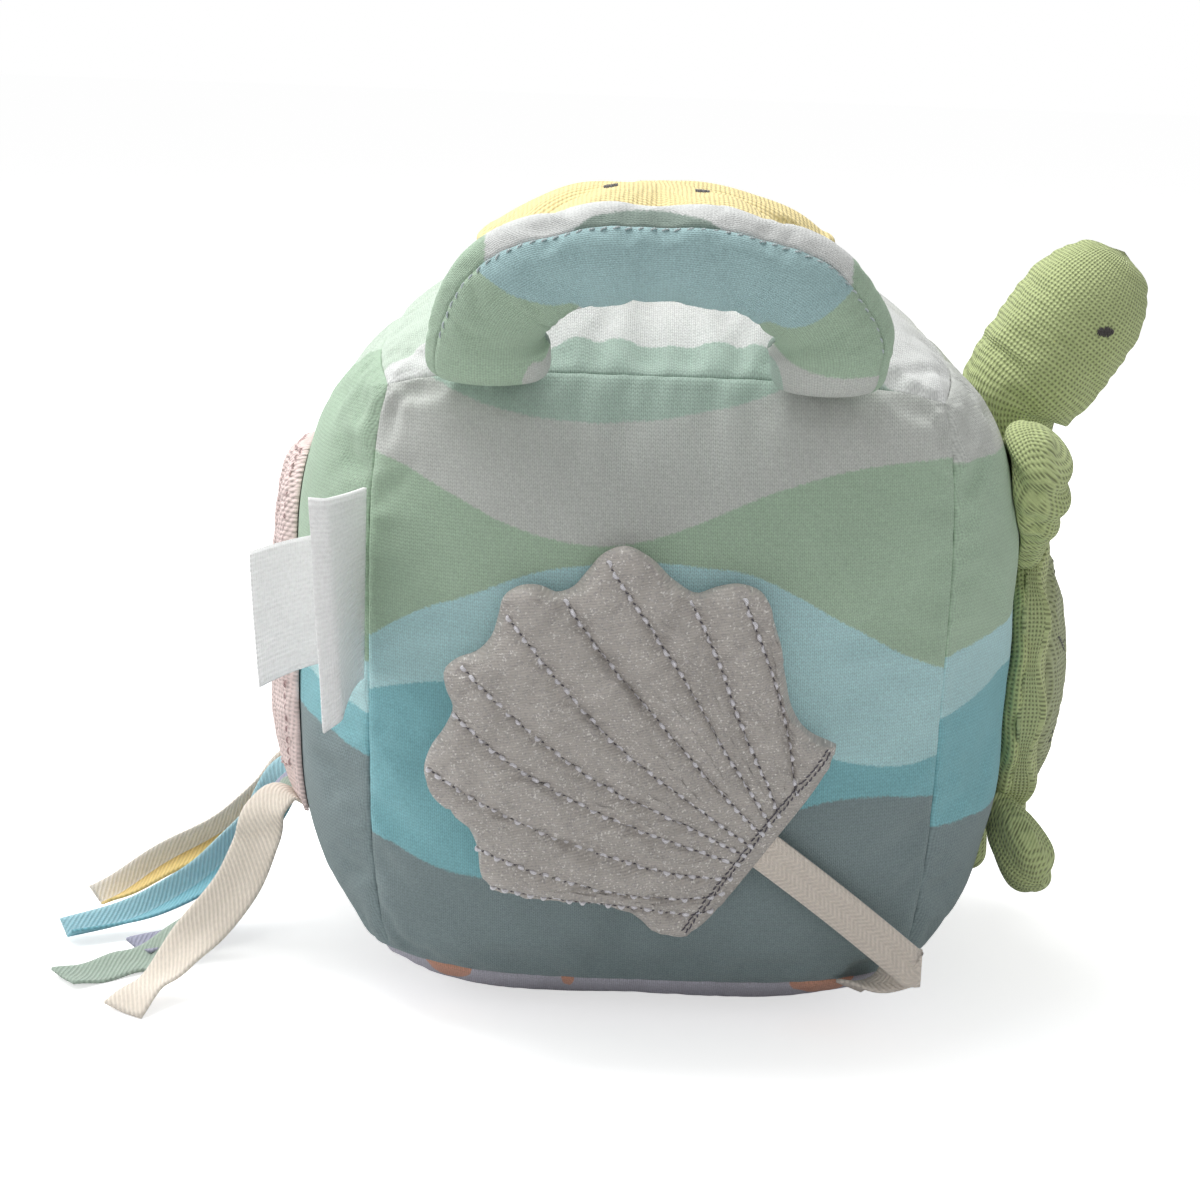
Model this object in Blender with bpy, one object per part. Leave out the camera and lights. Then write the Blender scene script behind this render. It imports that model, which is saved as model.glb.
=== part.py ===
"""Soft activity block with sea animals: a stuffed cube of printed knit that carries a stuffed
loop handle, a starfish, a turtle, a jellyfish with ribbons and a shell toy on a tape.

Metres, +Z up. The origin is the middle of the flat on which the block rests, +X runs to the
turtle's side and -Y is the side with the shell toy.
"""

import math

import bmesh
import bpy
from mathutils import Matrix, Vector
from mathutils.bvhtree import BVHTree

# Driving sizes of the block
HALF_WIDTH = 0.063
HALF_DEPTH = 0.063
HALF_HEIGHT = 0.0685
SIDE_CROWN = 0.018
FRONT_CROWN = 0.016
TOP_CROWN = 0.020
BOTTOM_CROWN = 0.011
FLAT_CUT = 0.0005
PANEL_THICKNESS = 0.0015
PIECE_GAP = 0.0003
SEAT_GAP = 0.0004
CORNER_DRAW_SHARE = 0.065
CORNER_POWER = 4.0
CROWN_POWER = 3.0
SIDE_CROWN_POWER = 4.0
BOTTOM_CROWN_POWER = 5.0
TAPER_SHARE = 0.02
PANEL_CELLS = 12

# Rattle in the middle of the wadding
CAPSULE_RADIUS = 0.017
CAPSULE_WALL = 0.0015
CAPSULE_STEPS = 16
CAPSULE_RINGS = 4
BALL_RADIUS = 0.005

# Loop handle on the top front seam
HANDLE_OFFSET = -0.0022
HANDLE_HALF_SPAN = 0.0355
HANDLE_RISE = 0.0216
HANDLE_FOOT_HALF_WIDTH = 0.0125
HANDLE_TOP_HALF_WIDTH = 0.0100
HANDLE_HALF_DEPTH = 0.0090
HANDLE_CLOTH = 0.0012
HANDLE_SEAM_DRAW = 0.00025
HANDLE_LEAN_DEG = 20.0
HANDLE_ARCH_POWER = 0.85
HANDLE_STEPS = 18
HANDLE_FOOT_STEPS = 3
HANDLE_SECTION_STEPS = 6
FOOT_END_DEG = 78.0

# Starfish on the top panel
STAR_ARM = 0.042
STAR_NOTCH = 0.025
STAR_ARMS = 5
STAR_BASE_THICKNESS = 0.0030
STAR_SWELL = 0.0108
STAR_EDGE = 0.0010
STAR_SEAT_GAP = 0.0006
STAR_ARM_POWER = 0.9
STAR_SWELL_POWER = 0.55
STAR_SECTORS = 40
STAR_RINGS = 5

# Jellyfish on the left panel
BELL_HEM_HEIGHT = 0.040
BELL_HEIGHT = 0.082
BELL_HALF_WIDTH = 0.038
BELL_SWELL = 0.0044
BELL_EDGE = 0.0016
BELL_TOP_DEG = 80.0
BELL_ROUND_SHARE = 0.75
BELL_EDGE_POWER = 4
BELL_CELLS = 12

# Ribbons under the jellyfish, from the front one to the back one
RIBBON_WIDTH = 0.0110
RIBBON_THICKNESS = 0.0010
RIBBON_PITCH = 0.0150
RIBBON_REACH = 0.0620
RIBBON_REST = 0.0010
RIBBON_STEPS = 9
RIBBON_SWEEP_DEG = 58.0
RIBBON_FAN_DEG = 5.0
RIBBON_FALL_POWER = 1.4
RIBBON_TURN_SHARE = 0.45
RIBBON_NAMES = ("ribbon_cream", "ribbon_green", "ribbon_lilac", "ribbon_blue", "ribbon_yellow")
RIBBON_REACH_SHARES = (0.92, 1.06, 1.00, 1.12, 1.02)

# Turtle on the right panel
TURTLE_HEIGHT = 0.072
BELLY_HALF_LENGTH = 0.0367
BELLY_HALF_WIDTH = 0.0270
BELLY_SWELL = 0.0066
BELLY_EDGE = 0.0020
RIM_HALF_LENGTH = 0.0390
RIM_HALF_WIDTH = 0.0292
RIM_THICKNESS = 0.0024
RIM_WAVE = 0.0012
RIM_WAVES = 11
CARAPACE_HALF_LENGTH = 0.0290
CARAPACE_HALF_WIDTH = 0.0235
CARAPACE_SWELL = 0.0082
CARAPACE_EDGE = 0.0012
TURTLE_SECTORS = 36
TURTLE_RINGS = 4
SWELL_POWER = 0.5
BELLY_EDGE_POWER = 6
NECK_RADIUS = 0.0050
HEAD_LENGTH = 0.0635
HEAD_RADIUS = 0.0175
HEAD_LEAN_DEG = 9.0
HEAD_BEND = 0.0060
HEAD_RADIUS_SHARES = (
    (0.0, 0.29), (0.12, 0.34), (0.22, 0.46), (0.34, 0.70), (0.46, 0.91), (0.58, 1.0),
    (0.70, 1.0), (0.82, 0.88), (0.91, 0.66), (0.97, 0.38),
)
FLIPPER_ROOT_RADIUS = 0.0040
FLIPPER_SECTION_STEPS = 14
LIMB_TIP_SHARE = 0.82
LIMB_TIP_START_SHARE = 0.60
FRONT_FLIPPER_LENGTH = 0.0360
FRONT_FLIPPER_HALF_WIDTH = 0.0120
FRONT_FLIPPER_HALF_THICKNESS = 0.0068
REAR_FLIPPER_LENGTH = 0.0225
REAR_FLIPPER_HALF_WIDTH = 0.0095
REAR_FLIPPER_HALF_THICKNESS = 0.0052
FRONT_FLIPPER_PLACE_DEG = 40.0
REAR_FLIPPER_PLACE_DEG = 138.0
FRONT_FLIPPER_TURN_DEG = -24.0
REAR_FLIPPER_TURN_DEG = 6.0
FRONT_FLIPPER_LIFT_DEG = 3.5
REAR_FLIPPER_LIFT_DEG = 24.0
FLIPPER_SHARES = (
    (0.0, 0.0), (0.14, 0.34), (0.30, 0.68), (0.50, 0.95), (0.68, 1.0), (0.84, 0.84), (0.95, 0.50),
)
TAIL_LENGTH = 0.0120
TAIL_RADIUS = 0.0042

# Shell toy, laid against the front panel on its tape
SHELL_PLACE_X = 0.0225
SHELL_PLACE_HEIGHT = 0.0517
SHELL_TURN_DEG = 54.8
SHELL_HALF_BASE = 0.026
SHELL_LENGTH = 0.0758
SHELL_HEM = 0.0020
SHELL_SWELL = 0.0068
SHELL_BACK_SWELL = 0.0024
SHELL_EDGE = 0.0007
SHELL_CHANNELS = 9
SHELL_CHANNEL_DEG = 10.3
SHELL_SPREAD_DEG = 84.0
SHELL_ARCH_POWER = 1.2
SHELL_LOBES = 6
SHELL_LOBE_DEG = 19.2
SHELL_LOBE_SHARE = 0.085
SHELL_LOBE_POWER = 0.7
SHELL_VALLEY_SHARE = 0.34
SHELL_HEM_SHARE = 0.45
SHELL_RIM_POWER = 6
SHELL_SIDE_POWER = 8
SHELL_CHANNEL_STEPS = 4
SHELL_SIDE_STEPS = 4
SHELL_RINGS = 8

# Tape of the shell toy
TAPE_WIDTH = 0.0085
TAPE_THICKNESS = 0.0010
TAPE_OFFSET = 0.0055
TAPE_STEPS = 6
TAPE_FOLD_X = 0.0585
TAPE_FOLD_OUT = 0.0090
TAPE_FOLD_HEIGHT = 0.0200
TAPE_ROOT_X = 0.0500
TAPE_SAG = 0.0016
TAPE_TURN_SHARE = 0.33

# Labels in the left front seam
SATIN_LENGTH = 0.0240
SATIN_HEIGHT = 0.0280
SATIN_TOP = 0.1115
SATIN_DROOP = 0.0040
SATIN_DIRECTION_DEG = 196.0
SATIN_SEAM_DEG = 196.0
CARE_LENGTH = 0.0220
CARE_HEIGHT = 0.0420
CARE_TOP = 0.1200
CARE_DROOP = 0.0110
CARE_DIRECTION_DEG = 252.0
CARE_SEAM_DEG = 254.0
LABEL_THICKNESS = 0.0005
CARE_THICKNESS = 0.0009
LABEL_SEAM_STEP = 0.0011
LABEL_STEPS = 4

CENTRE_HEIGHT = HALF_HEIGHT + BOTTOM_CROWN - FLAT_CUT
SMOOTH_ANGLE = math.radians(40.0)
RAY_REACH = 0.4

X_AXIS, Y_AXIS, Z_AXIS = Vector((1, 0, 0)), Vector((0, 1, 0)), Vector((0, 0, 1))
SIDES = {
    "panel_front": (1, -1, 0, 2, FRONT_CROWN, CROWN_POWER),
    "panel_back": (1, 1, 0, 2, FRONT_CROWN, CROWN_POWER),
    "panel_left": (0, -1, 1, 2, SIDE_CROWN, SIDE_CROWN_POWER),
    "panel_right": (0, 1, 1, 2, SIDE_CROWN, SIDE_CROWN_POWER),
    "panel_top": (2, 1, 0, 1, TOP_CROWN, CROWN_POWER),
    "panel_bottom": (2, -1, 0, 1, BOTTOM_CROWN, BOTTOM_CROWN_POWER),
}


def clear_scene():
    for obj in list(bpy.data.objects):
        bpy.data.objects.remove(obj, do_unlink=True)


def linear(hex_colour):
    """Linear RGBA of an sRGB colour written as '#RRGGBB'."""
    channels = [int(hex_colour[i:i + 2], 16) / 255 for i in (1, 3, 5)]
    values = [c / 12.92 if c <= 0.04045 else ((c + 0.055) / 1.055) ** 2.4 for c in channels]
    return (*values, 1.0)


def cloth(name, hex_colour, roughness=0.9, metallic=0.0):
    material = bpy.data.materials.new(name)
    material.use_nodes = True
    shader = material.node_tree.nodes["Principled BSDF"]
    shader.inputs["Base Color"].default_value = linear(hex_colour)
    shader.inputs["Roughness"].default_value = roughness
    shader.inputs["Metallic"].default_value = metallic
    material.diffuse_color = linear(hex_colour)
    return material


def solid(name, points, faces, material, origin=None):
    """One closed object from world points, with its own origin where a joint needs it."""
    origin = Vector(origin) if origin is not None else Vector()
    mesh = bpy.data.meshes.new(name)
    mesh.from_pydata([Vector(p) - origin for p in points], [], faces)
    work = bmesh.new()
    work.from_mesh(mesh)
    bmesh.ops.recalc_face_normals(work, faces=work.faces)
    work.to_mesh(mesh)
    work.free()
    mesh.materials.append(material)
    mesh.shade_smooth()
    mesh.set_sharp_from_angle(angle=SMOOTH_ANGLE)
    obj = bpy.data.objects.new(name, mesh)
    obj.location = origin
    bpy.context.scene.collection.objects.link(obj)
    return obj


def sheet_solid(name, outer, inner, material, origin=None):
    """Closed solid between two grids of points with as many rows and columns."""
    rows, columns = len(outer), len(outer[0])
    count = rows * columns

    def at(i, j, layer=0):
        return layer * count + i * columns + j

    points = [p for grid in (outer, inner) for row in grid for p in row]
    faces = []
    for i in range(rows - 1):
        for j in range(columns - 1):
            faces.append((at(i, j), at(i, j + 1), at(i + 1, j + 1), at(i + 1, j)))
            faces.append((at(i, j, 1), at(i + 1, j, 1), at(i + 1, j + 1, 1), at(i, j + 1, 1)))
    border = [(0, j) for j in range(columns)]
    border += [(i, columns - 1) for i in range(1, rows)]
    border += [(rows - 1, j) for j in range(columns - 2, -1, -1)]
    border += [(i, 0) for i in range(rows - 2, 0, -1)]
    for (i, j), (k, l) in zip(border, border[1:] + border[:1]):
        faces.append((at(i, j), at(k, l), at(k, l, 1), at(i, j, 1)))
    return solid(name, points, faces, material, origin)


def flat_backed_solid(name, grid, level, material, origin=None):
    """Closed solid from a grid of points down to a flat back that faces along Y."""
    rows, columns = len(grid), len(grid[0])
    border = [(0, j) for j in range(columns)]
    border += [(i, columns - 1) for i in range(1, rows)]
    border += [(rows - 1, j) for j in range(columns - 2, -1, -1)]
    border += [(i, 0) for i in range(rows - 2, 0, -1)]
    points = [p for row in grid for p in row]
    back = len(points)
    points += [Vector((grid[i][j].x, level, grid[i][j].z)) for i, j in border]
    faces = []
    for i in range(rows - 1):
        for j in range(columns - 1):
            corner = i * columns + j
            faces.append((corner, corner + 1, corner + columns + 1, corner + columns))
    for k, (i, j) in enumerate(border):
        after = (k + 1) % len(border)
        m, n = border[after]
        faces.append((i * columns + j, m * columns + n, back + after, back + k))
    faces.append(tuple(range(back, len(points))))
    return solid(name, points, faces, material, origin)


def ring_solid(name, rings, start, end, material, origin=None):
    """Closed solid lofted through rings of points, with a point at each end."""
    count = len(rings[0])
    points = [p for ring in rings for p in ring] + [start, end]
    first, last = len(points) - 2, len(points) - 1
    faces = []
    for j in range(count):
        k = (j + 1) % count
        faces.append((first, k, j))
        for i in range(len(rings) - 1):
            a, b = i * count, (i + 1) * count
            faces.append((a + j, a + k, b + k, b + j))
        faces.append((last, (len(rings) - 1) * count + j, (len(rings) - 1) * count + k))
    return solid(name, points, faces, material, origin)


def disc_pad(name, outline, rings, sectors, lower, upper, material, origin=None):
    """Closed pad over a round outline.

    outline(angle) gives the plan radius as a Vector of two lengths, lower(a, b, share, angle) and
    upper(...) give the two skins' points over the plan place (a, b) at that share of the radius.
    """
    low_rings, high_rings = [], []
    for i in range(1, rings + 1):
        share = math.sin(math.pi / 2 * i / rings)
        low, high = [], []
        for j in range(sectors):
            angle = 2 * math.pi * j / sectors
            plan = outline(angle) * share
            low.append(lower(plan.x, plan.y, share, angle))
            high.append(upper(plan.x, plan.y, share, angle))
        low_rings.append(low)
        high_rings.append(high)
    start, end = lower(0, 0, 0, 0), upper(0, 0, 0, 0)
    return ring_solid(name, low_rings + high_rings[::-1], start, end, material, origin)


def skin_point(cube, axis, sign, crown, power, depth):
    """Point of the stuffed block's skin.

    cube is a point of the cube from -1 to 1, lying on the side that faces `sign` along `axis`. The
    seams bow out between drawn-in corners, the block narrows to its foot, and each side has its
    own crown, flatter in its middle for a higher power. depth moves the skin in by that length.
    """
    halves = (HALF_WIDTH - depth, HALF_DEPTH - depth, HALF_HEIGHT - depth)
    point = Vector()
    for k in range(3):
        a, b = [abs(cube[m]) for m in range(3) if m != k]
        point[k] = cube[k] * halves[k] * (1 - CORNER_DRAW_SHARE * (a * b) ** CORNER_POWER)
    point.x *= 1 + TAPER_SHARE * cube[2]
    across = [abs(cube[m]) for m in range(3) if m != axis]
    swell = (1 - across[0] ** power) * (1 - across[1] ** power)
    point[axis] += sign * crown * swell
    point.z += CENTRE_HEIGHT
    return point


def seam_point(cube):
    """Point of a seam, where two sides of the cube meet and neither has any crown."""
    return skin_point(cube, 1, -1, 0.0, CROWN_POWER, 0.0)


def side_grid(name, depth, margin=0.0):
    """Grid of skin points over one side; margin is the share left free at each seam."""
    axis, sign, across, up, crown, power = SIDES[name]
    grid = []
    for i in range(PANEL_CELLS + 1):
        row = []
        for j in range(PANEL_CELLS + 1):
            cube = [0.0, 0.0, 0.0]
            cube[axis] = sign
            cube[across] = (2 * j / PANEL_CELLS - 1) * (1 - margin)
            cube[up] = (2 * i / PANEL_CELLS - 1) * (1 - margin)
            row.append(skin_point(cube, axis, sign, crown, power, depth))
        grid.append(row)
    return grid


def build_panels(materials):
    """The six printed panels, each a skin with mitred seam edges."""
    panels = {}
    margin = PIECE_GAP / HALF_DEPTH
    for name in SIDES:
        outer = side_grid(name, 0.0, margin)
        inner = side_grid(name, PANEL_THICKNESS, margin)
        if name == "panel_bottom":
            for row in outer:
                for point in row:
                    point.z = max(point.z, 0.0)
        panels[name] = sheet_solid(name, outer, inner, materials[name])
    return panels


def cutter(name, mesh_builder):
    """Guide object that only cuts."""
    mesh = bpy.data.meshes.new(name)
    work = bmesh.new()
    mesh_builder(work)
    work.to_mesh(mesh)
    work.free()
    obj = bpy.data.objects.new(name, mesh)
    obj.hide_render = True
    obj.display_type = "WIRE"
    bpy.context.scene.collection.objects.link(obj)
    return obj


def cut(target, tool):
    modifier = target.modifiers.new(tool.name, "BOOLEAN")
    modifier.operation = "DIFFERENCE"
    modifier.object = tool


def build_filling(material):
    """Wadding in two halves that meet round the rattle."""
    depth = PANEL_THICKNESS + PIECE_GAP
    points, faces = [], []
    for name in SIDES:
        grid = side_grid(name, depth)
        start = len(points)
        columns = len(grid[0])
        points += [p for row in grid for p in row]
        for i in range(PANEL_CELLS):
            for j in range(PANEL_CELLS):
                corner = start + i * columns + j
                faces.append((corner, corner + 1, corner + columns + 1, corner + columns))
    half_box = 2 * (HALF_WIDTH + SIDE_CROWN)
    pocket_radius = CAPSULE_RADIUS + PIECE_GAP

    def pocket(work):
        bmesh.ops.create_uvsphere(
            work, u_segments=CAPSULE_STEPS, v_segments=2 * CAPSULE_RINGS, radius=pocket_radius
        )
        bmesh.ops.translate(work, verts=work.verts, vec=(0, 0, CENTRE_HEIGHT))

    pocket_tool = cutter("rattle_pocket", pocket)
    for name, sign in (("filling_lower", 1), ("filling_upper", -1)):
        def half(work):
            bmesh.ops.create_cube(work, size=2 * half_box)
            shift = sign * (half_box - PIECE_GAP / 2)
            bmesh.ops.translate(work, verts=work.verts, vec=(0, 0, CENTRE_HEIGHT + shift))

        obj = solid(name, points, faces, material)
        work = bmesh.new()
        work.from_mesh(obj.data)
        bmesh.ops.remove_doubles(work, verts=work.verts, dist=PIECE_GAP / 3)
        bmesh.ops.recalc_face_normals(work, faces=work.faces)
        work.to_mesh(obj.data)
        work.free()
        cut(obj, cutter(name + "_half", half))
        cut(obj, pocket_tool)


def build_rattle(shell_material, ball_material):
    """Capsule turned from a quarter profile, one half mirrored from the other, and its ball."""
    for name, sign in (("rattle_capsule_lower", -1), ("rattle_capsule_upper", 1)):
        outer, inner = [], []
        for i in range(CAPSULE_RINGS):
            angle = math.pi / 2 * i / CAPSULE_RINGS
            lift = sign * PIECE_GAP / 2 if i == 0 else 0.0
            for store, radius in ((outer, CAPSULE_RADIUS), (inner, CAPSULE_RADIUS - CAPSULE_WALL)):
                ring = []
                for j in range(CAPSULE_STEPS):
                    turn = 2 * math.pi * j / CAPSULE_STEPS
                    across = radius * math.cos(angle)
                    height = CENTRE_HEIGHT + sign * radius * math.sin(angle) + lift
                    ring.append(Vector((across * math.cos(turn), across * math.sin(turn), height)))
                store.append(ring)
        top = Vector((0, 0, CENTRE_HEIGHT + sign * CAPSULE_RADIUS))
        under = Vector((0, 0, CENTRE_HEIGHT + sign * (CAPSULE_RADIUS - CAPSULE_WALL)))
        ring_solid(name, outer[::-1] + inner, top, under, shell_material)
    ball_height = CENTRE_HEIGHT - CAPSULE_RADIUS + CAPSULE_WALL + PIECE_GAP + BALL_RADIUS
    rings = []
    steps = 2 * CAPSULE_RINGS
    for i in range(1, steps):
        angle = math.pi * i / steps
        ring = []
        for j in range(CAPSULE_STEPS):
            turn = 2 * math.pi * j / CAPSULE_STEPS
            across = BALL_RADIUS * math.sin(angle)
            height = ball_height - BALL_RADIUS * math.cos(angle)
            ring.append(Vector((across * math.cos(turn), across * math.sin(turn), height)))
        rings.append(ring)
    centre = Vector((0, 0, ball_height))
    up = Vector((0, 0, BALL_RADIUS))
    ring_solid("rattle_ball", rings, centre - up, centre + up, ball_material, centre)


def handle_pivot():
    """Middle of the line through both feet, which are drawn into the top front seam."""
    step = (HANDLE_HALF_DEPTH - HANDLE_SEAM_DRAW) / math.sqrt(2)
    return Vector((HANDLE_OFFSET, -HALF_DEPTH - step, CENTRE_HEIGHT + HALF_HEIGHT + step))


def handle_rings(inset, start_deg, end_deg, steps):
    """Sections along the loop, foot to foot, each an arc of an ellipse from start to end.

    The loop follows a flattened arch and its feet end in half ellipsoids round the pivot line, so
    that they turn in place.
    """
    depth = HANDLE_HALF_DEPTH - inset
    stations = []
    foot = [math.radians(FOOT_END_DEG) * (1 - i / HANDLE_FOOT_STEPS) for i in range(HANDLE_FOOT_STEPS)]
    for angle in foot:
        stations.append((0.0, angle))
    for i in range(HANDLE_STEPS + 1):
        stations.append((math.pi * i / HANDLE_STEPS, 0.0))
    for angle in foot[::-1]:
        stations.append((math.pi, angle))
    rings = []
    for turn, foot_angle in stations:
        cos_t, sin_t = math.cos(turn), math.sin(turn)
        x = -HANDLE_HALF_SPAN * math.copysign(abs(cos_t) ** HANDLE_ARCH_POWER, cos_t)
        z = HANDLE_RISE * abs(sin_t) ** HANDLE_ARCH_POWER
        share = abs(sin_t)
        width = HANDLE_FOOT_HALF_WIDTH + (HANDLE_TOP_HALF_WIDTH - HANDLE_FOOT_HALF_WIDTH) * share
        width -= inset
        outward = Vector((-cos_t * HANDLE_RISE, 0, sin_t * HANDLE_HALF_SPAN)).normalized()
        centre = Vector((x, 0, z - depth * math.sin(foot_angle)))
        shrink = math.cos(foot_angle)
        ring = []
        for j in range(steps):
            angle = math.radians(start_deg + (end_deg - start_deg) * j / (steps - 1))
            across = outward * (width * shrink * math.cos(angle))
            ring.append(centre + across + Y_AXIS * (depth * shrink * math.sin(angle)))
        rings.append(ring)
    return rings


def build_handle(front_material, back_material, filling_material):
    """Front cloth, back cloth and wadding of the loop, leant forward on its feet."""
    pivot = handle_pivot()
    place = Matrix.Translation(pivot) @ Matrix.Rotation(math.radians(HANDLE_LEAN_DEG), 4, "X")
    gap_deg = math.degrees(PIECE_GAP / HANDLE_HALF_DEPTH)
    steps = HANDLE_SECTION_STEPS + 1

    def placed(rings):
        return [[place @ p for p in ring] for ring in rings]

    for name, start, material in (
        ("handle_front", 180.0, front_material),
        ("handle_back", 0.0, back_material),
    ):
        ends = (start + gap_deg, start + 180.0 - gap_deg)
        outer = placed(handle_rings(0.0, *ends, steps))
        inner = placed(handle_rings(HANDLE_CLOTH, *ends, steps))
        sheet_solid(name, outer, inner, material, pivot)
    count = 2 * HANDLE_SECTION_STEPS
    inset = HANDLE_CLOTH + PIECE_GAP
    rings = placed(handle_rings(inset, 0.0, 360.0 * (count - 1) / count, count))
    ends = []
    for ring in (rings[0], rings[-1]):
        ends.append(sum(ring, Vector()) / len(ring))
    ring_solid("handle_filling", rings, ends[0], ends[1], filling_material, pivot)


def skin_tree(panel):
    """Search tree over a panel, so that what is sewn on it follows its crown."""
    mesh = panel.data
    return BVHTree.FromPolygons(
        [panel.matrix_world @ v.co for v in mesh.vertices], [tuple(p.vertices) for p in mesh.polygons]
    )


def seat(tree, place, direction):
    """Where a line towards -direction first meets the panel, from outside."""
    start = place + direction * RAY_REACH
    hit = tree.ray_cast(start, -direction)[0]
    if hit is None:
        raise ValueError(f"nothing lies under {place}")
    return hit


def build_starfish(tree, upper_material, lower_material):
    """Five blunt arms on the top panel: a lower cloth and a swollen upper cloth."""

    def outline(angle):
        lobe = (1 + math.cos(STAR_ARMS * (angle - math.pi / 2))) / 2
        radius = STAR_NOTCH + (STAR_ARM - STAR_NOTCH) * lobe ** STAR_ARM_POWER
        return Vector((radius * math.cos(angle), radius * math.sin(angle)))

    def level(height):
        def point(a, b, share, angle):
            return seat(tree, Vector((a, b, 0)), Z_AXIS) + Z_AXIS * height
        return point

    upper_base = STAR_SEAT_GAP + STAR_BASE_THICKNESS + STAR_SEAT_GAP

    def dome(a, b, share, angle):
        swell = STAR_EDGE + STAR_SWELL * max(0.0, 1 - share ** 2) ** STAR_SWELL_POWER
        return level(upper_base + swell)(a, b, share, angle)

    lower_top = level(STAR_SEAT_GAP + STAR_BASE_THICKNESS)
    for name, low, high, material in (
        ("starfish_lower", level(STAR_SEAT_GAP), lower_top, lower_material),
        ("starfish_upper", level(upper_base), dome, upper_material),
    ):
        disc_pad(name, outline, STAR_RINGS, STAR_SECTORS, low, high, material)


def build_jellyfish(tree, material):
    """Bell with a straight hem, round above, padded and sewn on the left panel."""
    outer, inner = [], []
    for i in range(BELL_CELLS + 1):
        turn = math.radians(BELL_TOP_DEG) * i / BELL_CELLS
        height = BELL_HEM_HEIGHT + BELL_HEIGHT * math.sin(turn)
        half = BELL_HALF_WIDTH * math.cos(turn) ** BELL_ROUND_SHARE
        rise = 1 - abs(2 * i / BELL_CELLS - 1) ** BELL_EDGE_POWER
        outer_row, inner_row = [], []
        for j in range(BELL_CELLS + 1):
            across = 2 * j / BELL_CELLS - 1
            base = seat(tree, Vector((0, across * half, height)), -X_AXIS)
            swell = BELL_EDGE + BELL_SWELL * (1 - abs(across) ** BELL_EDGE_POWER) * rise
            inner_row.append(base - X_AXIS * SEAT_GAP)
            outer_row.append(base - X_AXIS * (SEAT_GAP + swell))
        outer.append(outer_row)
        inner.append(inner_row)
    sheet_solid("jellyfish_bell", outer, inner, material)


def ribbon_root(tree, index):
    """Pivot of one ribbon, just under the jellyfish's hem."""
    across = (index - (len(RIBBON_NAMES) - 1) / 2) * RIBBON_PITCH
    base = seat(tree, Vector((0, across, BELL_HEM_HEIGHT)), -X_AXIS)
    drop = PIECE_GAP + RIBBON_THICKNESS / 2
    return base - X_AXIS * (SEAT_GAP + BELL_EDGE / 2) - Z_AXIS * drop


def build_ribbons(tree, materials):
    """Tapes that leave the hem square to it, turn forward, fall and run out along the ground."""
    for index, name in enumerate(RIBBON_NAMES):
        root = ribbon_root(tree, index)
        sweep = math.radians(RIBBON_SWEEP_DEG - RIBBON_FAN_DEG * index)
        reach = RIBBON_REACH * RIBBON_REACH_SHARES[index]
        fall = root.z - RIBBON_REST
        line, sides = [root.copy()], [Y_AXIS.copy()]
        place = root.copy()
        for i in range(1, RIBBON_STEPS + 1):
            share = i / RIBBON_STEPS
            turned = math.pi + sweep * min(1.0, share / RIBBON_TURN_SHARE)
            place += Vector((math.cos(turned), math.sin(turned), 0)) * (reach / RIBBON_STEPS)
            drop = fall * (1 - (1 - share) ** RIBBON_FALL_POWER)
            line.append(Vector((place.x, place.y, root.z - drop)))
            sides.append(Vector((math.sin(turned), -math.cos(turned), 0)))
        strip(name, line, sides, RIBBON_WIDTH, RIBBON_THICKNESS, materials[name], root)


def ellipse_place(half_width, half_length, place_deg, distance):
    """Plan place at a distance outside an ellipse, and the way out there; 0 degrees is the top."""
    turn = math.radians(place_deg)
    edge = Vector((half_width * math.sin(turn), half_length * math.cos(turn)))
    out = Vector((math.sin(turn) / half_width, math.cos(turn) / half_length)).normalized()
    return edge + out * distance, out


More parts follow.
